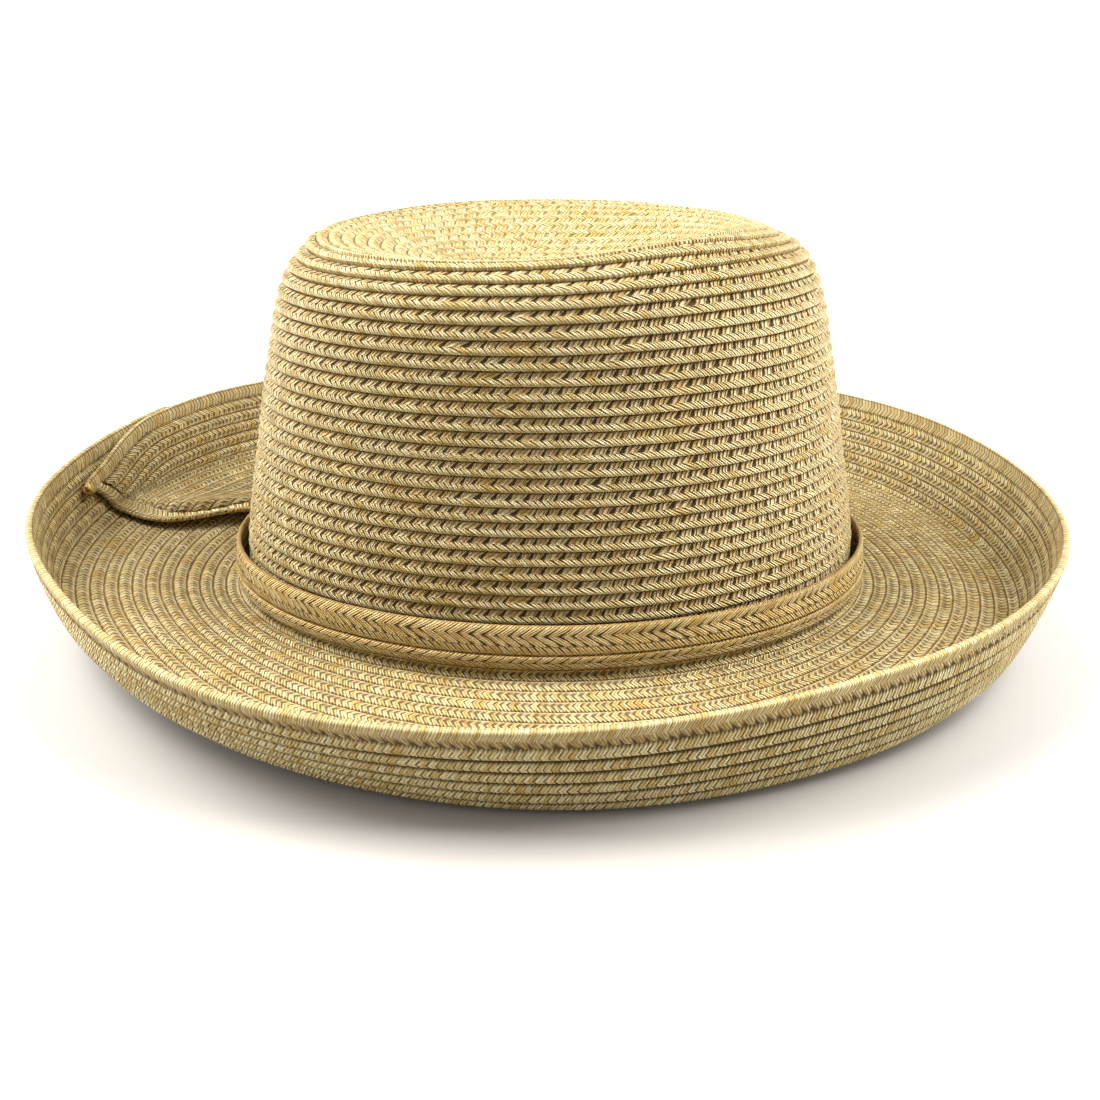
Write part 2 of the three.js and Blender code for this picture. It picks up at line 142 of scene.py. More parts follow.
# One row of sewn braid in section, from its upper edge to its lower one: place across the row
# as a share of it, and how far the straw stands above or below the wall's plain face
CROWN_ROW = table("across lift",
    (0, -1.15 * MM), (0.2, -0.8 * MM), (0.44, -0.3 * MM), (0.62, 0.26 * MM), (0.82, 0.42 * MM),
    (0.965, 0.1 * MM))
LINING_ROW = table("across lift",
    (0, -0.1 * MM), (0.35, 0.25 * MM), (0.75, 0.2 * MM))
BRIM_ROW = table("across lift",
    (0, -0.34 * MM), (0.17, 0.02 * MM), (0.42, 0.16 * MM), (0.7, 0.16 * MM), (0.92, 0))
BRIM_UNDER_ROW = table("across lift",
    (0, -0.95 * MM), (0.17, -0.13 * MM), (0.42, 0.34 * MM), (0.7, 0.35 * MM), (0.92, -0.36 * MM))

# Section of a flat plait, as a loop: place across it, height as a share of half its thickness
PLAIT_SECTION = table("across above",
    (0, 0), (0.015, 0.6), (0.08, 0.95), (0.25, 1), (0.48, 0.84), (0.52, 0.84), (0.75, 1),
    (0.92, 0.95), (0.985, 0.6), (1, 0), (0.985, -0.6), (0.92, -0.95), (0.75, -1.0), (0.52, -0.84),
    (0.25, -1.0), (0.08, -0.95), (0.015, -0.6))

# Slow drift of the strands along each kind of braid, and the steps of its waves
CROWN_DRIFT = dict(seed=11, reach=1.2 * MM)
BRIM_DRIFT = dict(seed=23, reach=0.8 * MM)
PLAIT_DRIFT = dict(seed=37, reach=0.5 * MM)
WAVE_COUNT = 6
WAVE_LENGTHS = (0.012, 0.09)

# Relief of the crown: its strand groups, as shares of a group or a row, and the rows over which
# the relief fades at the band, the top and the middle
GROUP_SLANT = 0.62
GROUP_GAP_DEPTH = 0.4 * MM
GROUP_GAP_WIDTH = 0.24
GROUPS_END = 0.62
GROUPS_FADE = 0.15
CROWN_PLAIN = -0.3 * MM
UNDER_BAND = 2.5
BAND_FADE = 1.5
TOP_RELIEF_SHARE = 0.5
TOP_FADE_START = -3.5
TOP_FADE = 4
MIDDLE_FADE = 0.8

# Relief of the brim and of the plaits
ROOT_PLAIN = 1.5 * MM
ROOT_FADE = 5 * MM
ROW_OFFSET = 0.37
END_OVERHANG = 0.25 * MM
RIM_TUCK = 1.2 * MM
PLAIT_DENT = 0.15
LOWER_DENT = 1.6
DENT_FADE = 0.3
DENT_WIDTH = 0.3
CLOSING_LENGTH = 20 * MM
PLAIT_END_SIZES = (0.0, 0.6, 0.9)
RIM_STRAND = 3.0 * MM
RIM_FULLNESS = 1.05
FLAT_PLAIT_SHARE = 0.75
FLAT_FROM = 120
FLAT_REACH = 30
EDGE_TUCK = 0.7 * MM
BAND_REPEAT = 5
BAND_SLANT = 0.8
RIM_SLANT = 1.2

# Knot at the flap's corner. Loops: turn in degrees and radius. Frayed ends: turn and length
KNOT_INSET = 2.0 * MM
KNOT_RISE = 1.4 * MM
KNOT_STRAND = 0.55 * MM
KNOT_LOOPS = (((70, 10, 20), 1.3 * MM), ((20, 60, 80), 1.2 * MM), ((100, 40, 150), 1.1 * MM))
KNOT_ENDS = (((60, 150, 0), 3.4 * MM), ((110, 20, 60), 2.8 * MM), ((30, 100, 20), 3.0 * MM))

# Columns once round each mesh, and the rows where the long spirals are cut into pieces. Outer
# faces of the brim and of the plaits have their rows numbered from OUTER_FACE
CROWN_COLUMNS = 640
BRIM_COLUMNS = 960
EDGE_COLUMNS = 160
TOP_BORDER = -1.5
SIDE_BORDER = 12.0
BRIM_BORDER = 9.4
BRIM_ROWS = 20
OUTER_FACE = 100

# Floor, in metres. It glows white away from the hat, as a lit backdrop does, and lights the hat
# from the sides more than from the front. Close round the hat it doesn't glow, which paints a
# darker patch there as the hat's shadow, on top of its real shadow
FLOOR_RADIUS = 1.3
FLOOR_DROP = 0.35 * MM
FLOOR_STRETCH = 1.25
FLOOR_GLOW = 0.6
GLOW_START = 0.14
GLOW_END = 0.3
FRONT_GLOW = 0.1
SIDE_GLOW = 1.6
SIDE_GLOW_START = 0.12
SIDE_GLOW_END = 0.4

# Area lights, in metres, and the camera's sensor, in millimetres
LEFT_LIGHT = dict(place=(-0.8, 0.1, 1.12), size=(0.7, 0.8))
RIGHT_LIGHT = dict(place=(0.8, 0.0, 1.12), size=(0.7, 0.8))
TOP_LIGHT = dict(place=(0.0, 0.6, 1.3), size=(1.2, 0.9))
LIGHT_AIM = (0, 0, 0.05)
SENSOR_WIDTH = 36


class HatSizes(bpy.types.PropertyGroup):
    """Sizes of the straw braid"""
    crown_pitch: bpy.props.FloatProperty(
        name="Crown row", description="Width of a braid row that shows on the crown",
        default=4.08 * MM, min=0.002, unit="LENGTH")
    brim_pitch: bpy.props.FloatProperty(
        name="Brim row", description="Width of a braid row that shows on the brim",
        default=4.2 * MM, min=0.002, unit="LENGTH")
    strand_group: bpy.props.FloatProperty(
        name="Strand group", description="Length along the braid that one group of strands takes",
        default=4.15 * MM, min=0.001, unit="LENGTH")
    band_strand: bpy.props.FloatProperty(
        name="Band strand", description="Length along the band that one strand takes",
        default=2.0 * MM, min=0.001, unit="LENGTH")


class StrawColours(bpy.types.PropertyGroup):
    """Colours of the straw, of its seam lines and painted shade, and of the studio floor"""
    pale: bpy.props.FloatVectorProperty(
        name="Pale straw", description="Lightest strands", subtype="COLOR", size=3,
        default=(0.885, 0.752, 0.4), min=0, max=1)
    warm: bpy.props.FloatVectorProperty(
        name="Warm straw", description="Most strands", subtype="COLOR", size=3,
        default=(0.55, 0.362, 0.082), min=0, max=1)
    golden: bpy.props.FloatVectorProperty(
        name="Golden straw", description="Strands of the band", subtype="COLOR", size=3,
        default=(0.57, 0.362, 0.075), min=0, max=1)
    # Seam lines, and painted shade in creases, in recesses and under raised row edges; also the
    # knot's dark fibres
    seam: bpy.props.FloatVectorProperty(
        name="Seam", description="Straw in the seam between two rows", subtype="COLOR", size=3,
        default=(0.24, 0.125, 0.03), min=0, max=1)
    # Painted shade: the dark deep in the gaps between strands, and under each crown row's raised
    # edge
    gap: bpy.props.FloatVectorProperty(
        name="Gap", description="Depth between two strands", subtype="COLOR", size=3,
        default=(0.055, 0.027, 0.007), min=0, max=1)
    # Painted shadow: the floor's own colour is this dark, and shows only close round the hat, where
    # it doesn't glow
    floor: bpy.props.FloatVectorProperty(
        name="Floor", description="Studio floor", subtype="COLOR", size=3,
        default=(0.37, 0.347, 0.318), min=0, max=1)


class StudioSettings(bpy.types.PropertyGroup):
    """Camera and light of the studio"""
    camera_distance: bpy.props.FloatProperty(
        name="Camera distance", description="From the crown's middle, along the floor",
        default=0.37997, unit="LENGTH")
    camera_height: bpy.props.FloatProperty(
        name="Camera height", description="Above the crown's foot", default=0.14818, unit="LENGTH")
    camera_pitch: bpy.props.FloatProperty(
        name="Camera pitch", description="Downward tilt", default=math.radians(20.962),
        subtype="ANGLE")
    camera_lens: bpy.props.FloatProperty(
        name="Lens", description="Focal length in millimetres on a 36 mm sensor", default=38.31)
    left_light: bpy.props.FloatProperty(
        name="Left light", description="Power of the light at the left", default=38.0,
        subtype="POWER")
    right_light: bpy.props.FloatProperty(
        name="Right light", description="Power of the light at the right", default=32.0,
        subtype="POWER")
    top_light: bpy.props.FloatProperty(
        name="Top light", description="Power of the light overhead", default=0.4,
        subtype="POWER")
    sky: bpy.props.FloatProperty(
        name="Sky", description="Strength of the light from all round", default=1.1, min=0)
    side_sky: bpy.props.FloatProperty(
        name="Side sky", description="Strength added at the left and the right", default=4.6, min=0)
    front_sky: bpy.props.FloatProperty(
        name="Front sky", description="Strength of the light from behind the camera", default=0.25,
        min=0)


def smooth(value):
    x = np.clip(value, 0, 1)
    return x * x * (3 - 2 * x)


def mix(low, high, share):
    return low + (high - low) * share


def column(table, name):
    return np.array([row[name] for row in table], float)


def around(table, name, azimuth):
    """Value of a column at azimuths in degrees, in a table that goes once round."""
    values = column(table, name)
    position = np.mod(azimuth, 360) / 360 * len(values)
    index = np.floor(position).astype(int)
    x = position - index
    before, left, right, after = (values[(index + step) % len(values)] for step in (-1, 0, 1, 2))
    slope_left = (right - before) / 2
    slope_right = (after - left) / 2
    return ((2 * x**3 - 3 * x**2 + 1) * left + (x**3 - 2 * x**2 + x) * slope_left
            + (3 * x**2 - 2 * x**3) * right + (x**3 - x**2) * slope_right)


def along_curve(xs, ys, x):
    """Smooth curve through the points of a table with unequal steps."""
    slopes = np.gradient(ys, xs)
    index = np.clip(np.searchsorted(xs, x) - 1, 0, len(xs) - 2)
    step = xs[index + 1] - xs[index]
    t = (x - xs[index]) / step
    return ((2 * t**3 - 3 * t**2 + 1) * ys[index] + (t**3 - 2 * t**2 + t) * step * slopes[index]
            + (3 * t**2 - 2 * t**3) * ys[index + 1] + (t**3 - t**2) * step * slopes[index + 1])


def hat_place():
    """Rotation and place of the leaning hat, from the foot ring of the crown's node."""
    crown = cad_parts["crown"]
    points = np.zeros(len(crown.data.vertices) * 3)
    crown.data.vertices.foreach_get("co", points)
    points = points.reshape(-1, 3)
    foot = points[points[:, 2] < points[:, 2].min() + FOOT_RING_HEIGHT]
    foot = np.unique(np.round(foot, 7), axis=0)
    centre = foot.mean(axis=0)
    normal = Vector(np.linalg.svd(foot - centre)[2][2])
    if normal.z < 0:
        normal.negate()
    turn = Vector((0, 0, 1)).rotation_difference(normal)
    return turn, Vector(centre) + normal * CROWN_FOOT_DROP


HAT_TURN, HAT_PLACE = hat_place()
HAT_MATRIX = np.array(HAT_TURN.to_matrix())


def to_world(points):
    return points @ HAT_MATRIX.T + np.array(HAT_PLACE)


class Crown:
    """Outside of the crown, by azimuth and by braid row counted down from the shoulder."""

    SIDE_STEPS = 400
    SHOULDER_STEPS = 60
    MOST_ROWS = 30
    STEPS_A_ROW = 100
    MIDDLE_ROW = 0.7
    TURN_STEP = 0.01
    ROW_STEP = 0.35
    RING_POINTS = 121

    def __init__(self, pitch):
        self.pitch = pitch
        heights = column(CROWN_SIDE, "height")
        self.share = np.linspace(-CROWN_FOOT_DROP / CROWN_SIDE_HEIGHT, 1, self.SIDE_STEPS)
        self.girth = along_curve(heights, column(CROWN_SIDE, "girth"), self.share)
        self.follow = along_curve(heights, column(CROWN_SIDE, "follow"), self.share)
        outward = self.girth * CROWN_WIDTH / 2
        upward = self.share * CROWN_SIDE_HEIGHT
        steps = np.hypot(np.diff(outward), np.diff(upward))
        length = np.concatenate([[0], np.cumsum(steps)])
        self.row_of_share = (length[-1] - length) / pitch
        self.last_row = self.row_of_share[0]
        t = np.linspace(0, 1, self.SHOULDER_STEPS)
        near, far = 3 * (1 - t)**2 * t, 3 * (1 - t) * t**2
        self.shoulder_in = near * SHOULDER_LEAN + far * SHOULDER_CREST + t**3
        self.shoulder_up = near * SHOULDER_CLIMB + far + t**3
        self.top_girth = CROWN_SIDE[-1]["girth"]
        self.top_length = CROWN_LENGTH / 2 * self.top_girth
        self.top_width = CROWN_WIDTH / 2 * self.top_girth
        self.first_row = -self.row_at_inset(self.top_width)
        self.measure_spiral()

    def measure_spiral(self):
        """Length of braid sewn before each row starts, and the row's own length once round."""
        first, last = math.floor(self.first_row) - 1, math.ceil(self.last_row) + 2
        self.spiral_rows = np.arange(first, last + 1)
        held = np.clip(self.spiral_rows, self.first_row + self.MIDDLE_ROW, self.last_row)
        self.row_size = np.array([self.row_length(row) for row in held])
        self.row_start = np.append(np.cumsum(self.row_size[::-1])[::-1][1:], 0)

    def spiral_length(self, rows, turns):
        index = rows - self.spiral_rows[0]
        return self.row_start[index][None, :] + self.row_size[index][None, :] * turns[:, None]

    def inset(self, rows):
        """How far in from the top row a number of rows reaches, less on the steep shoulder."""
        return self.pitch * (rows - STEEP_ROWS * (1 - np.exp(-rows / STEEP_REACH)))

    def row_at_inset(self, inset):
        steps = self.MOST_ROWS * self.STEPS_A_ROW
        rows = np.linspace(0, self.MOST_ROWS, steps + 1)
        return float(np.interp(inset, self.inset(rows), rows))

    def side(self, azimuth, row):
        share = np.interp(-row, -self.row_of_share, self.share)
        girth = np.interp(share, self.share, self.girth)
        follow = np.interp(share, self.share, self.follow)
        rise = around(RIDGE, "rise", np.degrees(azimuth)) - NEAR_SIDE_RISE
        x = CROWN_LENGTH / 2 * girth * np.cos(azimuth)
        y = CROWN_WIDTH / 2 * girth * np.sin(azimuth)
        return np.stack([x, y, share * CROWN_SIDE_HEIGHT + follow * RIDGE_RISE * rise], -1)

    def top(self, azimuth, row):
        inset = self.inset(-row)
        x = (self.top_length - inset) * np.cos(azimuth)
        y = (self.top_width - inset) * np.sin(azimuth)
        across, along = x / (CROWN_LENGTH / 2), y / (CROWN_WIDTH / 2)
        girth = np.hypot(across, along)
        degrees = np.degrees(np.arctan2(along, across))
        ridge = self.top_girth * around(RIDGE, "reach", degrees)
        rise = around(RIDGE, "rise", degrees)
        crest = CROWN_SIDE_HEIGHT + RIDGE_RISE * rise
        edge = CROWN_SIDE_HEIGHT + CROWN_SIDE[-1]["follow"] * RIDGE_RISE * (rise - NEAR_SIDE_RISE)
        floor = CROWN_SIDE_HEIGHT + RIDGE_RISE - DISH_DEPTH
        way_in = np.clip((self.top_girth - girth) / (self.top_girth - ridge), 0, 1)
        shoulder = mix(edge, crest, np.interp(way_in, self.shoulder_in, self.shoulder_up))
        climb = smooth((girth / ridge - DISH_FLOOR_SHARE) / (1 - DISH_FLOOR_SHARE))
        z = np.where(girth > ridge, shoulder, mix(floor, crest, climb))
        return np.stack([x, y, z], -1)

    def plain(self, azimuth, row):
        row = np.clip(row, self.first_row, self.last_row)
        upper = self.top(azimuth, np.minimum(row, 0))
        lower = self.side(azimuth, np.maximum(row, 0))
        return np.where((row < 0)[..., None], upper, lower)

    def point(self, azimuth, row, above):
        """Point above the outside. Its normal is smoothed over about a row at the shoulder."""
        row = np.clip(row, self.first_row, self.last_row)
        turn, step = self.TURN_STEP, self.ROW_STEP
        round_way = self.plain(azimuth + turn, row) - self.plain(azimuth - turn, row)
        down_way = self.plain(azimuth, row + step) - self.plain(azimuth, row - step)
        normal = np.cross(down_way, round_way)
        near_middle = np.linalg.norm(normal, axis=-1, keepdims=True) < NO_NORMAL
        normal = np.where(near_middle, (0, 0, 1), normal)
        normal /= np.linalg.norm(normal, axis=-1, keepdims=True)
        return self.plain(azimuth, row) + normal * above[..., None]

    def row_length(self, row):
        """Length of the braid once round at a row."""
        turns = np.linspace(0, 2 * np.pi, self.RING_POINTS)
        ring = self.plain(turns, np.full_like(turns, row))
        return float(np.linalg.norm(np.diff(ring, axis=0), axis=1).sum())


class Brim:
    """Straw of the brim, by turn in degrees, length along the straw and height above its middle."""

    STEP = 0.5 * MM
    AZIMUTH_STEP = 0.5

    def __init__(self):
        azimuths = np.arange(0, 361, self.AZIMUTH_STEP)
        steps = int(BRIM_WIDTH / self.STEP) + 3
        fall = np.radians(around(BRIM_SECTIONS, "fall", azimuths))[:, None]
        wall = np.radians(around(BRIM_SECTIONS, "wall", azimuths))[:, None]
        turn = BRIM_WIDTH * around(BRIM_SECTIONS, "turn", azimuths)[:, None]
        root = math.radians(ROOT_BEND_ANGLE)

        def heading(along):
            bend = np.clip(along / ROOT_BEND_LENGTH, 0, 1)
            crease = smooth((along - turn) / CREASE_LENGTH + 0.5)
            upper = np.clip((along - turn) / (BRIM_WIDTH - turn), 0, 1)
            risen = CREASE_SHARE * crease + (1 - CREASE_SHARE) * upper
            return mix(-root, -fall, bend) + (wall + fall) * risen

        along = np.arange(steps) * self.STEP
        middle = heading(along[None, :-1] + self.STEP / 2)
        none = np.zeros((len(azimuths), 1))
        self.reach = np.hstack([none, np.cumsum(self.STEP * np.cos(middle), axis=1)])
        self.height = np.hstack([none, np.cumsum(self.STEP * np.sin(middle), axis=1)])
        self.slope = heading(along[None, :])

    def traced(self, grid, turned, along):
        """Value of a traced grid between its azimuths and steps."""
        a = np.mod(turned, 360) / self.AZIMUTH_STEP
        b = np.clip(along, 0, None) / self.STEP
        i = np.minimum(a.astype(int), grid.shape[0] - 2)
        k = np.minimum(b.astype(int), grid.shape[1] - 2)
        lower = mix(grid[i, k], grid[i, k + 1], b - k)
        upper = mix(grid[i + 1, k], grid[i + 1, k + 1], b - k)
        return mix(lower, upper, a - i)

    def lap(self, turned, along):
        spread = smooth(along / LAP_SPREAD)
        under = 1 - smooth((turned - LAP_END_AZIMUTH - LAP_REACH / 2) / LAP_REACH)
        over = smooth((turned - 360 - FLAP_EASE_START) / LAP_REACH)
        share = np.clip(along / BRIM_WIDTH, 0, 1)
        edge = 360 + along_curve(column(FLAP_EDGE, "share"), column(FLAP_EDGE, "azimuth"), share)
        lift = np.interp(share, column(FLAP_LIFT, "share"), column(FLAP_LIFT, "lift"))
        lift = lift * smooth(1 - (edge - turned) / FLAP_LIFT_REACH)
        droop = FLAP_DROOP * smooth(1 - (edge - turned) / FLAP_DROOP_REACH) * np.sin(np.pi * share)
        return spread * (LAP_OFFSET * (over - under) + lift - droop)

    def point(self, turned, along, above):
        turned, along, above = np.broadcast_arrays(turned, along, above)
        angle = np.radians(turned)
        gap = CLEARANCE + BRIM_WALL / 2
        half_length = CROWN_LENGTH / 2 + gap
        half_width = CROWN_WIDTH / 2 + gap
        out_x, out_y = half_width * np.cos(angle), half_length * np.sin(angle)
        size = np.hypot(out_x, out_y)
        slope = np.where(along < 0, -np.pi / 2, self.traced(self.slope, turned, along))
        lifted = above + self.lap(turned, np.maximum(along, 0))
        reach = np.where(along < 0, 0, self.traced(self.reach, turned, along))
        reach = reach - lifted * np.sin(slope)
        x = half_length * np.cos(angle) + out_x / size * reach
        y = half_width * np.sin(angle) + out_y / size * reach
        height = np.where(along < 0, -along, self.traced(self.height, turned, along))
        return np.stack([x, y, height + lifted * np.cos(slope)], -1)

    def rim_length(self, turned):
        return BRIM_WIDTH - FLAP_DROP * smooth((turned - 360 - LAP_END_AZIMUTH) / FLAP_DROP_REACH)

    def flap_edge_turn(self, share, kept_back):
        edge = 360 + along_curve(column(FLAP_EDGE, "share"), column(FLAP_EDGE, "azimuth"), share)
        along = share * self.rim_length(360 + FLAP_EDGE[-1]["azimuth"])
        way = self.point(edge, along, 0) - self.point(edge - 1, along, 0)
        return edge - kept_back / np.hypot(way[..., 0], way[..., 1])

    def slanted_turn(self, turned, share, kept_back):
        end = 360 + FLAP_EDGE[0]["azimuth"]
        start = 360 + FLAP_EASE_START
        pull = np.clip((turned - start) / (end - start), 0, 1)
        return turned + pull * (self.flap_edge_turn(np.maximum(share, 0), kept_back) - end)

    def column_length(self, turned):
        return self.rim_length(self.slanted_turn(turned, np.ones_like(turned), 0))


def brim_turns(count):
    return np.linspace(LAP_END_AZIMUTH - UNDER_FLAP, 360 + FLAP_EDGE[0]["azimuth"], count)


def deselect_all():
    if bpy.context.object and bpy.context.object.mode != "OBJECT":
        bpy.ops.object.mode_set(mode="OBJECT")
    bpy.ops.object.select_all(action="DESELECT")


def woven_grid(name, points, along, across, dropped=None):
    """Mesh from a grid whose vertices are put at points, with the braid's coordinates as UV map.

    points has a place for each column and station. along and across hold, for each face, the
    coordinates of its four corners. Stations that fall together are merged."""
    columns, stations = points.shape[:2]
    deselect_all()
    bpy.ops.mesh.primitive_grid_add(x_subdivisions=stations - 1, y_subdivisions=columns - 1)
    piece = bpy.context.object
    piece.name = name
    piece.data.name = name
    piece.data.vertices.foreach_set("co", to_world(points).ravel())
    corners = face_corners(piece.data, stations)
    uv = np.zeros((len(piece.data.loops), 2))
    uv[:, 0] = along[corners["column"], corners["station"], corners["corner"]]
    uv[:, 1] = across[corners["column"], corners["station"], corners["corner"]]
    while piece.data.uv_layers:
        piece.data.uv_layers.remove(piece.data.uv_layers[0])
    piece.data.uv_layers.new(name="braid").uv.foreach_set("vector", uv.ravel())
    piece.data.update()
    bpy.ops.object.mode_set(mode="EDIT")
    bpy.ops.mesh.select_mode(type="FACE")
    if dropped is not None:
        bpy.ops.mesh.select_all(action="DESELECT")
        bpy.ops.object.mode_set(mode="OBJECT")
        faces = np.arange(len(piece.data.polygons)) % (stations - 1)
        piece.data.polygons.foreach_set("select", faces == dropped)
        bpy.ops.object.mode_set(mode="EDIT")
        bpy.ops.mesh.delete(type="ONLY_FACE")
    bpy.ops.mesh.select_all(action="SELECT")
    bpy.ops.mesh.remove_doubles(threshold=MERGE_DISTANCE)
    bpy.ops.mesh.dissolve_degenerate(threshold=MERGE_DISTANCE)
    bpy.ops.mesh.normals_make_consistent(inside=False)
    bpy.ops.object.mode_set(mode="OBJECT")
    bpy.ops.object.shade_smooth_by_angle(angle=SMOOTH_ANGLE)
    return piece


def face_corners(mesh, stations):
    """Column, station and corner number of each face corner of a fresh grid."""
    count = len(mesh.polygons)
    face = np.repeat(np.arange(count), 4)
    vertex = np.zeros(len(mesh.loops), int)
    mesh.loops.foreach_get("vertex_index", vertex)
    col = face // (stations - 1)
    sta = face % (stations - 1)
    right = vertex // stations > col
    up = vertex % stations > sta
    return {"column": col, "station": sta, "corner": right * 2 + up}


def report_faces(piece):
    """Prints a piece's size, and stops the script if it came out inside out."""
    mesh = piece.data
    mesh.calc_loop_triangles()
    index = np.zeros(len(mesh.loop_triangles) * 3, int)
    mesh.loop_triangles.foreach_get("vertices", index)
    points = np.zeros(len(mesh.vertices) * 3)
    mesh.vertices.foreach_get("co", points)
    a, b, c = points.reshape(-1, 3)[index.reshape(-1, 3)].transpose(1, 0, 2)
    volume = np.einsum("ij,ij->i", a, np.cross(b, c)).sum() / 6
    print("piece", piece.name, "triangles", len(mesh.loop_triangles), "volume", volume)
    if volume <= 0:
        raise RuntimeError(piece.name + " is inside out")


def finish_piece(piece, material, node):
    report_faces(piece)
    piece.data.materials.clear()
    piece.data.materials.append(material)
    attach(piece, "root")
    if node:
        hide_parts(node)


def wander(length, seed, reach):
    """Slow uneven drift of the strands along the braid, in the mesh and so in its UV map."""
    random = np.random.default_rng(seed)
    waves = random.uniform(*WAVE_LENGTHS, WAVE_COUNT)
    phases = random.uniform(0, 2 * np.pi, WAVE_COUNT)
    swings = sum(np.sin(2 * np.pi * length / wave + phase) for wave, phase in zip(waves, phases))
    return reach * swings / (WAVE_COUNT / 2)


def strand_group_relief(along, across, depth):
    """Dents between the groups of strands in the upper half of a row. Along is in groups."""
    phase = np.mod(along - GROUP_SLANT * (0.5 - across), 1)
    edge = np.minimum(phase, 1 - phase)
    return -depth * smooth((GROUPS_END - across) / GROUPS_FADE) * smooth(1 - edge / GROUP_GAP_WIDTH)


def row_stations(profile, first, last):
    """Row, place across it and lift of each station, and of one more that ends the last row."""
    rows = np.append(np.repeat(np.arange(first, last), len(profile)), last)
    across = np.append(np.tile(column(profile, "across"), last - first), 0.0)
    lift = np.append(np.tile(column(profile, "lift"), last - first), profile[0]["lift"])
    return rows, across, lift


def held_at(row, above, border, past):
    """Lifts of the stations past a border, taken from where their own column crosses it."""
    for i in np.flatnonzero(past.any(axis=1)):
        above[i, past[i]] = np.interp(border, row[i], above[i])


def looped(first, second):
    """Stations out along one face, back along the other, and the first one again."""
    return np.concatenate([first, second[:, ::-1], first[:, :1]], axis=1)


def crown_face(crown, group, turns, profile, top_row, bottom_row, outside):
    """Points and braid coordinates of one face of a part of the crown, between two of its rows.

    The rows climb by one pitch in a turn. Stations past the part's borders are held there."""
    first, last = math.floor(top_row), math.ceil(bottom_row) + 1
    rows, across, lift = row_stations(profile, first, last)
    row = rows[None, :] + across[None, :] - turns[:, None]
    length = crown.spiral_length(rows, turns)
    along = (length + wander(length, **CROWN_DRIFT)) / group
    if outside:
        plain = CROWN_PLAIN
        above = lift[None, :] + strand_group_relief(along, across[None, :], GROUP_GAP_DEPTH)
        above = above * smooth((crown.last_row - UNDER_BAND - row) / BAND_FADE)
        above = above * mix(TOP_RELIEF_SHARE, 1, smooth((row - TOP_FADE_START) / TOP_FADE))
    else:
        plain = -CROWN_WALL
        above = plain + np.broadcast_to(lift[None, :], row.shape)
    above = mix(plain, above, smooth((row - crown.first_row) / MIDDLE_FADE))
    held_at(row, above, top_row, row < top_row)
    held_at(row, above, bottom_row, row > bottom_row)
    above[row <= crown.first_row] = plain
    azimuth = np.broadcast_to(turns[:, None] * 2 * np.pi, row.shape)
    points = crown.point(azimuth, np.clip(row, top_row, bottom_row), above)
    return points, along, rows[None, :] + across[None, :] + np.zeros_like(row)


def crown_part(name, crown, sizes, top_row, bottom_row, columns):
    """Closed part of the crown, with the braid's rows on its outside and its inside."""
    turns = np.linspace(0, 1, columns + 1)
    group = sizes.strand_group
    outer = crown_face(crown, group, turns, CROWN_ROW, top_row, bottom_row, True)
    inner = crown_face(crown, group, turns, LINING_ROW, top_row, bottom_row, False)
    points, along, across = (looped(a, b) for a, b in zip(outer, inner))
    dropped = points.shape[1] - 2 if top_row <= crown.first_row else None
    return woven_grid(name, points, row_corners(along, across), corner_values(across), dropped)


def corner_values(values):
    """Values at the four corners of each face of the grid."""
    return np.stack([values[:-1, :-1], values[:-1, 1:], values[1:, :-1], values[1:, 1:]], -1)


def row_corners(along, across):
    """Length coordinates at face corners. A face that steps to the next row keeps the upper
    row's length, so that no strand is smeared over the step."""
    corners = corner_values(along)
    step = np.diff(np.floor(across + ROW_EDGE), axis=1)[:-1]
    for near, far in ((0, 1), (2, 3)):
        upper = np.where(step > 0, corners[..., near], corners[..., far])
        corners[..., near] = np.where(step != 0, upper, corners[..., near])
        corners[..., far] = np.where(step != 0, upper, corners[..., far])
    return corners


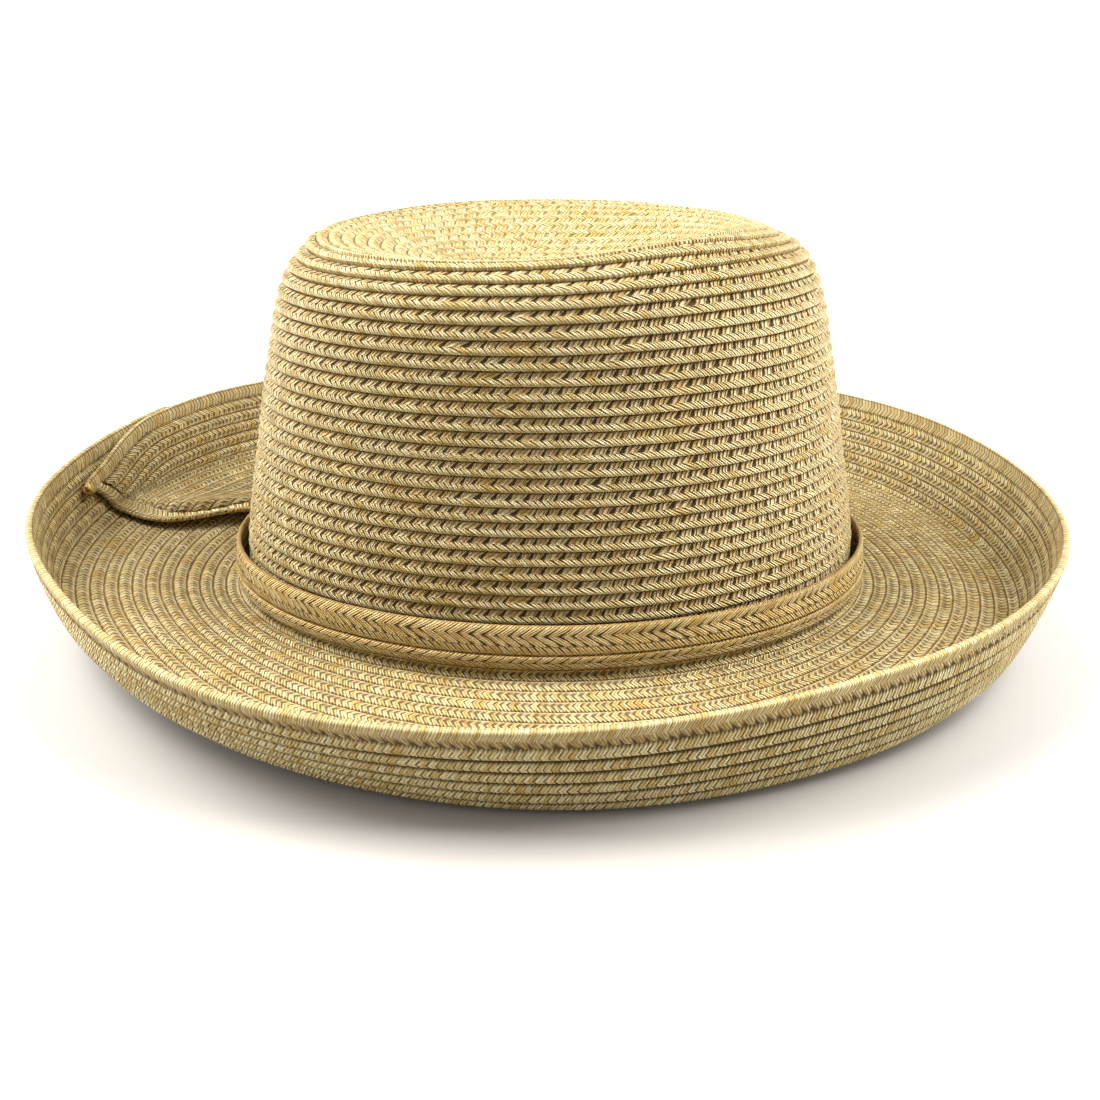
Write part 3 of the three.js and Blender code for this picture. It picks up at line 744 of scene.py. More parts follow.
def brim_part(name, brim, sizes, top_row, bottom_row, columns):
    """Closed part of the brim between two braid rows, counted from the rim braid to the crown."""
    turned = brim_turns(columns)
    kept_back = EDGE_BRAID_WIDTH + CLEARANCE
    rim_share = 1 - RIM_BRAID_WIDTH / BRIM_WIDTH
    length = brim.rim_length(brim.slanted_turn(turned, np.full_like(turned, rim_share), kept_back))
    rim = BRIM_WIDTH - RIM_BRAID_WIDTH - CLEARANCE
    shift_start = FLAP_DROP_START * BRIM_WIDTH
    first, last = math.floor(top_row), math.ceil(bottom_row)
    faces = []
    for profile, side in ((BRIM_ROW, 1), (BRIM_UNDER_ROW, -1)):
        rows, across, lift = row_stations(profile, first, last)
        row = np.clip(rows + across, top_row, bottom_row)
        full = rim - sizes.brim_pitch * row + np.where(row == 0, RIM_TUCK, 0)
        shift = np.clip((full - shift_start) / (rim - shift_start), 0, 1)
        station = full[None, :] - (BRIM_WIDTH - length)[:, None] * shift[None, :]
        station = np.maximum(station, -COLLAR_HEIGHT)
        lift = np.interp(row, rows + across, lift)
        hidden = smooth((station - ROOT_PLAIN) / ROOT_FADE)
        above = side * (BRIM_WALL / 2 + lift[None, :] * hidden)
        place = rows + across + (0 if side > 0 else OUTER_FACE)
        faces.append((station, above, place[None, :] + np.zeros_like(station)))
    station, above, across = (looped(a, b) for a, b in zip(*faces))
    turn = brim.slanted_turn(turned[:, None], station / length[:, None], kept_back)
    points = brim.point(turn, station, above)
    closing = []
    for end, next_in in ((0, 1), (-1, -2)):
        middle, inner = (brim.point(turn[k], station[k], np.zeros_like(above[k]))
                         for k in (end, next_in))
        way = middle - inner
        way /= np.linalg.norm(way, axis=-1, keepdims=True)
        closing.append(middle + way * END_OVERHANG)
    points = np.concatenate([closing[0][None], points, closing[1][None]])
    across = np.concatenate([across[:1], across, across[-1:]])
    length = braid_lengths(points, np.floor(across[0] + ROW_EDGE))
    along = (length + wander(length, **BRIM_DRIFT)) / sizes.strand_group
    return woven_grid(name, points, row_corners(along, across), corner_values(across))


def braid_lengths(points, numbers):
    """Length along the braid at each point: one line, near its middle, measures a whole row."""
    lengths = np.zeros(points.shape[:2])
    for number in np.unique(numbers):
        own = np.flatnonzero(numbers == number)
        steps = np.linalg.norm(np.diff(points[:, own[len(own) // 2]], axis=0), axis=1)
        lengths[:, own] = np.concatenate([[0], np.cumsum(steps)])[:, None] + ROW_OFFSET * number
    return lengths


def plait_relief(along, across, slant):
    """Share of the thickness left at each place of a plait, whose strands fold at its middle. The
    dents between them are deeper by its lower edge."""
    phase = np.mod(along - slant * np.abs(across - 0.5), 1)
    edge = np.minimum(phase, 1 - phase)
    dent = PLAIT_DENT * (1 + LOWER_DENT * smooth((across - 0.5) / DENT_FADE))
    return 1 - dent * smooth(1 - edge / DENT_WIDTH)


def plait(name, at, metres, width, half, strand, slant, ends):
    """Plait from a function that gives its points at places across and heights, for each column.
    half is half its thickness at each column. A plait without ends closes on itself, so its
    strands don't drift there."""
    across = column(PLAIT_SECTION, "across")
    above = column(PLAIT_SECTION, "above")
    drift = wander(metres, **PLAIT_DRIFT)
    if not ends:
        drift *= smooth(metres / CLOSING_LENGTH) * smooth((metres[-1] - metres) / CLOSING_LENGTH)
    along = np.repeat(((metres + drift) / strand)[:, None], len(across), axis=1)
    share = plait_relief(along, across[None, :], slant)
    size = np.ones(len(metres))
    if ends:
        size[:3] = PLAIT_END_SIZES
        size[-3:] = PLAIT_END_SIZES[::-1]
    place = 0.5 + (across[None, :] - 0.5) * size[:, None]
    height = above[None, :] * share * (size * half)[:, None]
    points = at(place * width, height)
    points, along, across = (np.concatenate([v, v[:, :1]], axis=1) for v in (
        points, along, np.repeat(across[None, :], len(metres), axis=0)))
    under = (above + np.roll(above, -1) < 0)[None, :, None]
    place = corner_values(across) + under * OUTER_FACE
    return woven_grid(name, points, corner_values(along), place)


class Wiring:
    """Short calls for the nodes of a material or a group."""

    def __init__(self, tree):
        self.tree = tree

    def node(self, kind, values=None, **settings):
        node = self.tree.nodes.new(kind)
        for name, value in settings.items():
            setattr(node, name, value)
        for name, value in (values or {}).items():
            self.put(node.inputs[name], value)
        return node

    def put(self, socket, value):
        if isinstance(value, bpy.types.NodeSocket):
            self.tree.links.new(value, socket)
        else:
            socket.default_value = value

    def math(self, operation, *values):
        node = self.tree.nodes.new("ShaderNodeMath")
        node.operation = operation
        for socket, value in zip(node.inputs, values):
            self.put(socket, value)
        return node.outputs[0]

    def plus(self, first, second):
        return self.math("ADD", first, second)

    def times(self, first, second):
        return self.math("MULTIPLY", first, second)

    def larger(self, first, second):
        return self.math("MAXIMUM", first, second)

    def apart(self, first, second):
        """How far two values are from each other."""
        return self.math("ABSOLUTE", self.math("SUBTRACT", first, second))

    def ramp(self, value, low, high, to_low=0.0, to_high=1.0):
        """Smooth step from low to high."""
        node = self.node("ShaderNodeMapRange", interpolation_type="SMOOTHSTEP")
        for name, amount in (("Value", value), ("From Min", low), ("From Max", high),
                             ("To Min", to_low), ("To Max", to_high)):
            self.put(node.inputs[name], amount)
        return node.outputs[0]

    def blend(self, share, first, second):
        """Colour between two others."""
        node = self.node("ShaderNodeMix", data_type="RGBA")
        self.put(node.inputs[0], share)
        self.put(node.inputs[6], first)
        self.put(node.inputs[7], second)
        return node.outputs[2]

    def between(self, share, first, second):
        """Number between two others."""
        node = self.node("ShaderNodeMix", data_type="FLOAT")
        self.put(node.inputs[0], share)
        self.put(node.inputs[2], first)
        self.put(node.inputs[3], second)
        return node.outputs[0]


def new_group(name, inputs, outputs):
    """Wiring, inputs and outputs of a new group. Its inputs have their defaults, a tuple for a
    colour, and of its outputs only the one named Colour is a colour."""
    tree = bpy.data.node_groups.new(name, "ShaderNodeTree")
    for socket, default in inputs.items():
        kind = "NodeSocketColor" if isinstance(default, tuple) else "NodeSocketFloat"
        made = tree.interface.new_socket(socket, in_out="INPUT", socket_type=kind)
        made.default_value = default
    for socket in outputs:
        kind = "NodeSocketColor" if socket == "Colour" else "NodeSocketFloat"
        tree.interface.new_socket(socket, in_out="OUTPUT", socket_type=kind)
    wires = Wiring(tree)
    return wires, wires.node("NodeGroupInput").outputs, wires.node("NodeGroupOutput").inputs


STRAND_VALUES = ("Height", "Gap", "Crease", "Tone", "Phase")


def strands_group():
    """Groups of strands side by side: their rounded height, the gaps between groups, the creases
    between the strands of a group, and the tone of each strand."""
    w, given, out = new_group("Braid strands", {
        "Along": 0.0, "Lean": 0.0, "Gap": 0.15, "Strands": 2.0}, STRAND_VALUES)
    phase = w.math("SUBTRACT", given["Along"], given["Lean"])
    group = w.node("ShaderNodeTexWhiteNoise", {"W": w.plus(w.math("FLOOR", phase), 0.5)},
                   noise_dimensions="1D")
    fine = w.times(phase, given["Strands"])
    strand = w.node("ShaderNodeTexWhiteNoise", {"W": w.plus(w.math("FLOOR", fine), 0.25)},
                    noise_dimensions="1D")
    edge = w.math("PINGPONG", phase, 0.5)
    width = w.times(given["Gap"], w.math("MULTIPLY_ADD", group.outputs["Value"], 1.2, 0.4))
    gap = w.ramp(edge, w.times(width, 0.35), width, 1.0, 0.0)
    across_strand = w.math("PINGPONG", fine, 0.5)
    crease = w.ramp(across_strand, 0.0, 0.2, 1.0, 0.0)
    rounded = w.times(w.ramp(across_strand, 0.0, 0.42), w.ramp(edge, 0.0, 0.3, 0.45, 1.0))
    tone = w.plus(w.times(strand.outputs["Value"], 0.6), w.times(group.outputs["Value"], 0.25))
    for name, value in zip(STRAND_VALUES, (rounded, gap, crease, tone, fine)):
        w.put(out[name], value)
    return w.tree


def fibre_group():
    """Fine streaks along a strand and slow changes of tone along the braid."""
    w, given, out = new_group("Straw fibre", {
        "Phase": 0.0, "Along": 0.0, "Row place": 0.0}, ("Streak", "Drift"))
    place = w.node("ShaderNodeCombineXYZ", {
        "X": w.times(given["Phase"], 4.0), "Y": w.times(given["Row place"], 2.6)})
    streak = w.node("ShaderNodeTexNoise", {
        "Vector": place.outputs[0], "Scale": 1.0, "Detail": 3.0, "Roughness": 0.6},
        noise_dimensions="3D")
    far = w.node("ShaderNodeCombineXYZ", {
        "X": w.times(given["Along"], 0.16),
        "Y": w.times(w.math("FLOOR", given["Row place"]), 3.7)})
    drift = w.node("ShaderNodeTexNoise", {
        "Vector": far.outputs[0], "Scale": 1.0, "Detail": 2.0, "Roughness": 0.5},
        noise_dimensions="3D")
    w.put(out["Streak"], streak.outputs[0])
    w.put(out["Drift"], drift.outputs[0])
    return w.tree


def colour_group():
    """Straw colour from the tone of a strand and its fibre, with painted shade in its creases,
    along the seams and in the gaps.
    """
    white = (1, 1, 1, 1)
    w, given, out = new_group("Straw colour", {
        "Light": white, "Dark": white, "Seam and shade colour": white, "Gap shade colour": white, "Tone": 0.5,
        "Streak": 0.5, "Drift": 0.5, "Crease": 0.0, "Seam": 0.0, "Gap": 0.0},
        ("Colour", "Roughness"))
    tone = w.plus(given["Tone"], w.ramp(given["Streak"], 0.3, 0.7, -0.22, 0.3))
    tone = w.plus(tone, w.ramp(given["Drift"], 0.35, 0.65, -0.06, 0.09))
    straw = w.blend(w.ramp(tone, 0.0, 0.9), given["Dark"], given["Light"])
    # Painted shade: creases and seams are blended towards the seam colour, the gaps towards the gap
    # colour
    straw = w.blend(given["Crease"], straw, given["Seam and shade colour"])
    straw = w.blend(given["Seam"], straw, given["Seam and shade colour"])
    straw = w.blend(given["Gap"], straw, given["Gap shade colour"])
    w.put(out["Colour"], straw)
    rough = w.ramp(given["Streak"], 0.3, 0.7, 0.6, 0.42)
    w.put(out["Roughness"], w.between(given["Gap"], rough, 1.0))
    return w.tree


def group_named(name):
    makers = {"Braid strands": strands_group, "Straw fibre": fibre_group,
              "Straw colour": colour_group}
    return bpy.data.node_groups.get(name) or makers[name]()


def shade(colour):
    return (*colour, 1.0)


class StrawMaterial:
    """A straw material under way: the braid's coordinates, its strands and its colours, which are
    the warm and the pale straw unless others are given."""

    SPECULAR = 0.35

    def __init__(self, name, dark=None, light=None):
        colours = bpy.context.scene.straw_colours
        self.material = bpy.data.materials.new(name)
        self.material.use_nodes = True
        self.w = Wiring(self.material.node_tree)
        self.shader = self.material.node_tree.nodes["Principled BSDF"]
        self.dark, self.light = dark or colours.warm, light or colours.pale
        braid = self.w.node("ShaderNodeUVMap", uv_map="braid")
        parts = self.w.node("ShaderNodeSeparateXYZ", {"Vector": braid.outputs[0]})
        self.along, self.place = parts.outputs[0], parts.outputs[1]
        self.across = self.w.math("FRACT", self.place)

    def strands(self, per_group, lean, gap, strands):
        """Strands at a number to each group's length, that lean by a value given in groups."""
        along = self.w.times(self.along, per_group)
        node = self.w.node("ShaderNodeGroup", node_tree=group_named("Braid strands"))
        for name, value in (("Along", along), ("Lean", lean), ("Gap", gap), ("Strands", strands)):
            self.w.put(node.inputs[name], value)
        return node.outputs

    def folded(self):
        """Mask of the outer face, and place past the fold at a row's middle and its size."""
        outer = self.w.math("GREATER_THAN", self.place, OUTER_FACE - 0.5)
        past_fold = self.w.math("SUBTRACT", self.across, 0.5)
        return outer, past_fold, self.w.math("ABSOLUTE", past_fold)

    def either(self, share, first, second):
        return {name: self.w.between(share, first[name], second[name]) for name in STRAND_VALUES}

    def finish(self, strands, gap, crease, seam, relief):
        """The material, from its strands, its masks and the depth of its relief in metres."""
        w = self.w
        colours = bpy.context.scene.straw_colours
        fibre = w.node("ShaderNodeGroup", {
            "Phase": strands["Phase"], "Along": self.along, "Row place": self.place},
            node_tree=group_named("Straw fibre"))
        colour = w.node("ShaderNodeGroup", {
            "Light": shade(self.light), "Dark": shade(self.dark),
            "Seam and shade colour": shade(colours.seam), "Gap shade colour": shade(colours.gap),
            "Tone": strands["Tone"], "Streak": fibre.outputs["Streak"],
            "Drift": fibre.outputs["Drift"], "Crease": crease, "Seam": seam, "Gap": gap},
            node_tree=group_named("Straw colour"))
        sunk = w.times(strands["Height"], w.math("SUBTRACT", 1.0, gap))
        fine = w.math("MULTIPLY_ADD", fibre.outputs["Streak"], 0.22, sunk)
        bump = w.node("ShaderNodeBump", {"Height": fine, "Distance": relief, "Strength": 1.0})
        w.put(self.shader.inputs["Base Color"], colour.outputs["Colour"])
        w.put(self.shader.inputs["Roughness"], colour.outputs["Roughness"])
        w.put(self.shader.inputs["Normal"], bump.outputs["Normal"])
        self.shader.inputs["Specular IOR Level"].default_value = self.SPECULAR
        return self.material


# In the straw materials a place across a row runs from 0 at its upper edge to 1 at its lower one,
# and lengths along the braid count groups of strands


def crown_straw():
    """Open braid: groups of strands in the upper half of a row, raised pairs in its lower half,
    with painted shade under the raised edge of the row above.
    """
    straw = StrawMaterial("crown straw")
    w = straw.w
    upper_lean = w.times(w.math("SUBTRACT", 0.5, straw.across), GROUP_SLANT)
    upper = straw.strands(1.0, upper_lean, w.ramp(straw.across, 0.1, 0.5, 0.1, 0.24), 3.0)
    lower_lean = w.times(w.math("SUBTRACT", straw.across, 0.5), 2.3)
    lower = straw.strands(2.0, lower_lean, w.ramp(straw.across, 0.5, 0.8, 0.2, 0.1), 2.0)
    strands = straw.either(w.ramp(straw.across, 0.46, 0.52), upper, lower)
    on_side = w.ramp(straw.place, -4.0, 0.0, 0.65, 1.0)
    gap = w.times(strands["Gap"], w.ramp(straw.across, 0.75, 0.95, 1.0, 0.15))
    crease = w.times(strands["Crease"], w.ramp(straw.across, 0.4, 0.6, 0.8, 0.5))
    # Painted shadow: gap colour in a narrow band at the top of each row, under the raised edge of
    # the row above
    gap = w.larger(gap, w.ramp(straw.across, 0.02, 0.12, 0.6, 0.0))
    # Painted shade: seam colour over the upper part of each row and, on the side, over its recessed
    # half
    recess_shade = w.ramp(straw.across, 0.4, 0.56, 0.3, 0.0)
    seam = w.larger(w.ramp(straw.across, 0.04, 0.3, 0.75, 0.0), w.times(recess_shade, on_side))
    return straw.finish(strands, w.times(gap, on_side), crease, seam, 0.9 * MM)


def brim_straw():
    """Close braid: strands that fold at the middle of a row, with slits by the fold and a dotted
    seam. The outer face, with rows numbered from OUTER_FACE, is plainer, with painted shade deep
    in its seams."""
    straw = StrawMaterial("brim straw")
    w = straw.w
    outer, past_fold, fold = straw.folded()
    slit = w.between(outer, w.ramp(past_fold, -0.1, 0.1, 0.2, 0.46), 0.12)
    strands = straw.strands(2.0, w.times(fold, 1.5), slit, 2.0)
    ticks = straw.strands(4.0, w.times(fold, 3.0), 0.36, 1.0)
    by_fold = w.ramp(fold, 0.2, 0.46, 1.0, 0.1)
    from_seam = w.apart(straw.across, 0.07)
    by_seam = w.ramp(from_seam, 0.04, w.between(outer, 0.13, 0.17), 1.0, 0.0)
    gap = w.larger(w.times(w.times(strands["Gap"], by_fold), 0.9),
                   w.times(w.times(ticks["Gap"], by_seam), 0.95))
    # Painted shade: on the outer face, gap colour deep in the seams at both edges of each row
    outer_seam_shade = w.larger(w.ramp(straw.across, 0.05, 0.19, 0.9, 0.0),
                    w.ramp(straw.across, 0.87, 0.98, 0.0, 0.9))
    gap = w.larger(gap, w.times(outer_seam_shade, outer))
    # Dark seam lines with painted shade along the upper and lower edge of each row, where the rows
    # meet
    seam = w.larger(w.ramp(straw.across, 0.03, 0.14, 1.0, 0.0),
                    w.ramp(straw.across, 0.93, 1.0, 0.0, 0.9))
    crease = w.times(strands["Crease"], w.between(outer, 0.65, 0.25))
    return straw.finish(strands, gap, crease, seam, 0.8 * MM)


def rim_straw():
    """Edge plait: fine strands that fold at its middle, with open corners by the lower seam of its
    outer face. Painted shade darkens the lower half of the outer face and the lower edge of both
    faces."""
    straw = StrawMaterial("rim plait")
    w = straw.w
    outer, past_fold, fold = straw.folded()
    fine = straw.strands(2.0, w.times(fold, 1.6), 0.3, 2.0)
    open_by = w.ramp(straw.across, 0.5, 0.95, 0.08, 0.42)
    coarse = straw.strands(1.0, w.times(fold, 1.2), open_by, 3.0)
    strands = straw.either(w.times(outer, w.ramp(past_fold, -0.05, 0.05)), fine, coarse)
    near_seam = w.ramp(straw.across, 0.55, 0.85, 0.35, 0.95)
    gap = w.times(strands["Gap"], w.between(outer, 0.7, near_seam))
    # Painted shade: the lower half of the outer face, which faces down, darkens towards the seam
    # colour
    shaded = w.times(outer, w.ramp(straw.across, 0.42, 0.62, 0.0, 0.55))
    line = w.ramp(w.apart(straw.across, 0.13), 0.02, 0.07, 0.85, 0.0)
    # Dark line near the top of the inner face, with painted shade along the lower edge and lower
    # outer half
    seam = w.larger(w.ramp(straw.across, 0.9, 0.98, 0.0, 0.95), w.between(outer, line, shaded))
    return straw.finish(strands, gap, w.times(strands["Crease"], 0.7), seam, 0.6 * MM)


def band_straw(name, columns, slant, rope_from):
    """Golden plait whose strands fold more than once on their way across it, with a raised lower
    column of pairs."""
    colours = bpy.context.scene.straw_colours
    light = [mix(a, b, 0.6) for a, b in zip(colours.golden, colours.pale)]
    straw = StrawMaterial(name, colours.golden, light)
    w = straw.w
    fold = w.math("PINGPONG", w.math("MULTIPLY_ADD", straw.across, columns, 1.0), 1.0)
    by_fold = w.math("PINGPONG", w.times(straw.across, columns), 0.5)
    width = w.ramp(by_fold, 0.0, 0.4, 0.26, 0.1)
    groups = straw.strands(0.6, w.times(fold, slant), width, 3.0)
    pairs = straw.strands(1.0, w.times(straw.across, 4.0), 0.16, 2.0)
    strands = straw.either(w.ramp(straw.across, rope_from - 0.02, rope_from + 0.02), groups, pairs)
    edge = w.math("PINGPONG", straw.across, 0.5)
    # Dark seam lines with painted shade along both edges of the plait and where its raised lower
    # column meets the groups
    rope_seam = w.ramp(w.apart(straw.across, rope_from), 0.0, 0.05, 0.7, 0.0)
    seam = w.larger(w.ramp(edge, 0.0, 0.07, 0.8, 0.0), rope_seam)
    gap = w.times(strands["Gap"], w.ramp(edge, 0.03, 0.16))
    return straw.finish(strands, gap, w.times(strands["Crease"], 0.6), seam, 0.6 * MM)


def knot_straw():
    """Dry raffia, browner than the straw, with fibres along the strand."""
    made = bpy.data.materials.new("knot")
    made.use_nodes = True
    w = Wiring(made.node_tree)
    shader = made.node_tree.nodes["Principled BSDF"]
    colours = bpy.context.scene.straw_colours
    place = w.node("ShaderNodeTexCoord")
    stretched = w.node("ShaderNodeMapping", {"Vector": place.outputs["Object"],
                                             "Scale": (1500, 2600, 5200)})
    fibre = w.node("ShaderNodeTexNoise", {
        "Vector": stretched.outputs[0], "Scale": 1.0, "Detail": 4.0})
    tone = w.ramp(fibre.outputs[0], 0.35, 0.65)
    # The raffia's darker fibres take the seam colour as their own colour, not as shade
    w.put(shader.inputs["Base Color"], w.blend(tone, shade(colours.seam), shade(colours.warm)))
    w.put(shader.inputs["Roughness"], w.ramp(fibre.outputs[0], 0.3, 0.7, 0.75, 0.5))
    bump = w.node("ShaderNodeBump", {"Height": fibre.outputs[0], "Distance": 0.3 * MM})
    w.put(shader.inputs["Normal"], bump.outputs["Normal"])
    return made


MATERIALS = {}


def material(name):
    makers = {
        "crown straw": crown_straw,
        "brim straw": brim_straw,
        "rim plait": rim_straw,
        "band plait": lambda: band_straw("band plait", 3, 1.2, 0.7),
        "narrow band plait": lambda: band_straw("narrow band plait", 2, 0.9, 0.5),
        "knot": knot_straw,
    }
    if name not in MATERIALS:
        MATERIALS[name] = makers[name]()
    return MATERIALS[name]


class HAT_OT_crown(bpy.types.Operator):
    """Add the crown: its dished top and the upper and lower part of its side"""
    bl_idname = "hat.crown"
    bl_label = "Crown"

    def execute(self, context):
        sizes = context.scene.hat_sizes
        crown = Crown(sizes.crown_pitch)
        parts = (("crown_top", crown.first_row, TOP_BORDER),
                 ("crown_side_upper", TOP_BORDER, SIDE_BORDER),
                 ("crown_side_lower", SIDE_BORDER, crown.last_row))
        for name, top_row, bottom_row in parts:
            piece = crown_part(name, crown, sizes, top_row, bottom_row, CROWN_COLUMNS)
            finish_piece(piece, material("crown straw"), "crown")
        return {"FINISHED"}


class HAT_OT_brim(bpy.types.Operator):
    """Add the brim: its turned-up wall and its flat part"""
    bl_idname = "hat.brim"
    bl_label = "Brim"

    def execute(self, context):
        sizes = context.scene.hat_sizes
        brim = Brim()
        parts = (("brim_wall", 0.0, BRIM_BORDER), ("brim_flat", BRIM_BORDER, BRIM_ROWS))
        for name, top_row, bottom_row in parts:
            piece = brim_part(name, brim, sizes, top_row, bottom_row, BRIM_COLUMNS)
            finish_piece(piece, material("brim straw"), "brim")
        return {"FINISHED"}


class HAT_OT_rim(bpy.types.Operator):
    """Add the plaits of the brim's rim and of the flap's free edge, and the knot where they meet"""
    bl_idname = "hat.rim"
    bl_label = "Rim, flap edge and knot"

    def execute(self, context):
        brim = Brim()
        turned = brim_turns(BRIM_COLUMNS)
        length = brim.column_length(turned)
        slanted = brim.slanted_turn(turned, np.ones_like(turned), 0)

        def at_rim(inset, above):
            return brim.point(slanted[:, None], length[:, None] - inset, above)

        line = at_rim(np.zeros((len(turned), 1)), np.zeros((len(turned), 1)))[:, 0]
        metres = np.concatenate([[0], np.cumsum(np.linalg.norm(np.diff(line, axis=0), axis=1))])
        by_flap = smooth((turned - 360 - FLAT_FROM) / FLAT_REACH)
        half = mix(RIM_FULLNESS, FLAT_PLAIT_SHARE, by_flap) * RIM_BRAID_THICKNESS / 2
        piece = plait("rim_plait", at_rim, metres, RIM_BRAID_WIDTH, half, RIM_STRAND,
                      RIM_SLANT, True)
        finish_piece(piece, material("rim plait"), "rim_braid")

        edge_length = length[-1]
        station = np.linspace(ROOT_BEND_LENGTH, edge_length - RIM_BRAID_WIDTH / 2, EDGE_COLUMNS)

        def at_edge(inset, above):
            share = station[:, None] / edge_length
            turn = brim.flap_edge_turn(share, inset)
            return brim.point(turn, station[:, None], above)

        half = np.full(len(station), FLAT_PLAIT_SHARE * EDGE_BRAID_THICKNESS / 2)
        piece = plait("flap_edge_plait", at_edge, station, EDGE_BRAID_WIDTH + EDGE_TUCK, half,
                      RIM_STRAND, RIM_SLANT, True)
        finish_piece(piece, material("rim plait"), "flap_edge_braid")
        corner = brim.point(slanted[-1], edge_length - KNOT_INSET, KNOT_RISE)
        self.add_knot(Vector(to_world(corner)))
        return {"FINISHED"}

    def add_knot(self, corner):
        """Small frayed knot of raffia that ties off the plaits at the flap's corner."""
        deselect_all()
        parts = []
        for turn, size in KNOT_LOOPS:
            bpy.ops.mesh.primitive_torus_add(
                location=corner, rotation=[math.radians(angle) for angle in turn],
                major_radius=size, minor_radius=KNOT_STRAND, major_segments=28, minor_segments=10)
            parts.append(bpy.context.object)
        for turn, length in KNOT_ENDS:
            bpy.ops.mesh.primitive_cone_add(
                vertices=10, radius1=0.2 * KNOT_STRAND, radius2=0.9 * KNOT_STRAND, depth=length,
                location=corner, rotation=[math.radians(angle) for angle in turn])
            end = bpy.context.object
            half_way = Vector((0, 0, length / 2))
            end.location = end.location - end.rotation_euler.to_matrix() @ half_way
            parts.append(end)
        for part in parts:
            part.select_set(True)
        bpy.context.view_layer.objects.active = parts[0]
        bpy.ops.object.join()
        knot = bpy.context.object
        knot.name = knot.data.name = "flap_knot"
        bpy.ops.object.transform_apply(location=True, rotation=True, scale=True)
        bpy.ops.object.shade_smooth_by_angle(angle=SMOOTH_ANGLE)
        finish_piece(knot, material("knot"), None)


class HAT_OT_band(bpy.types.Operator):
    """Add the two plaits of the hat band"""
    bl_idname = "hat.band"
    bl_label = "Band"

    def execute(self, context):
        strand = context.scene.hat_sizes.band_strand
        azimuth = np.linspace(0, 2 * np.pi, CROWN_COLUMNS + 1)[:, None]
        braids = (("band_upper_plait", BAND_FOOT + LOWER_BRAID_WIDTH + CLEARANCE,
                   UPPER_BRAID_WIDTH, "band_upper_braid", "band plait"),
                  ("band_lower_plait", BAND_FOOT, LOWER_BRAID_WIDTH, "band_lower_braid",
                   "narrow band plait"))
        for name, foot, width, node, finish in braids:
            def at(share, above):
                height = foot + width - share
                lean = BAND_LEAN * np.maximum(height - COLLAR_HEIGHT, 0) / UPPER_BRAID_WIDTH
                offset = 2 * CLEARANCE + BRIM_WALL + BAND_THICKNESS / 2 + above - lean
                out_x, out_y = CROWN_WIDTH * np.cos(azimuth), CROWN_LENGTH * np.sin(azimuth)
                size = np.hypot(out_x, out_y)
                x = CROWN_LENGTH / 2 * np.cos(azimuth) + out_x / size * offset
                y = CROWN_WIDTH / 2 * np.sin(azimuth) + out_y / size * offset
                return np.stack(np.broadcast_arrays(x, y, height), -1)

            line = at(np.zeros_like(azimuth), np.zeros_like(azimuth))[:, 0]
            reach = np.linalg.norm(np.diff(line, axis=0), axis=1).sum()
            strands = round(reach / strand / BAND_REPEAT) * BAND_REPEAT
            metres = azimuth[:, 0] / (2 * np.pi) * strands * strand
            half = np.full(len(metres), BAND_THICKNESS / 2)
            piece = plait(name, at, metres, width, half, strand, BAND_SLANT, False)
            finish_piece(piece, material(finish), node)
        return {"FINISHED"}


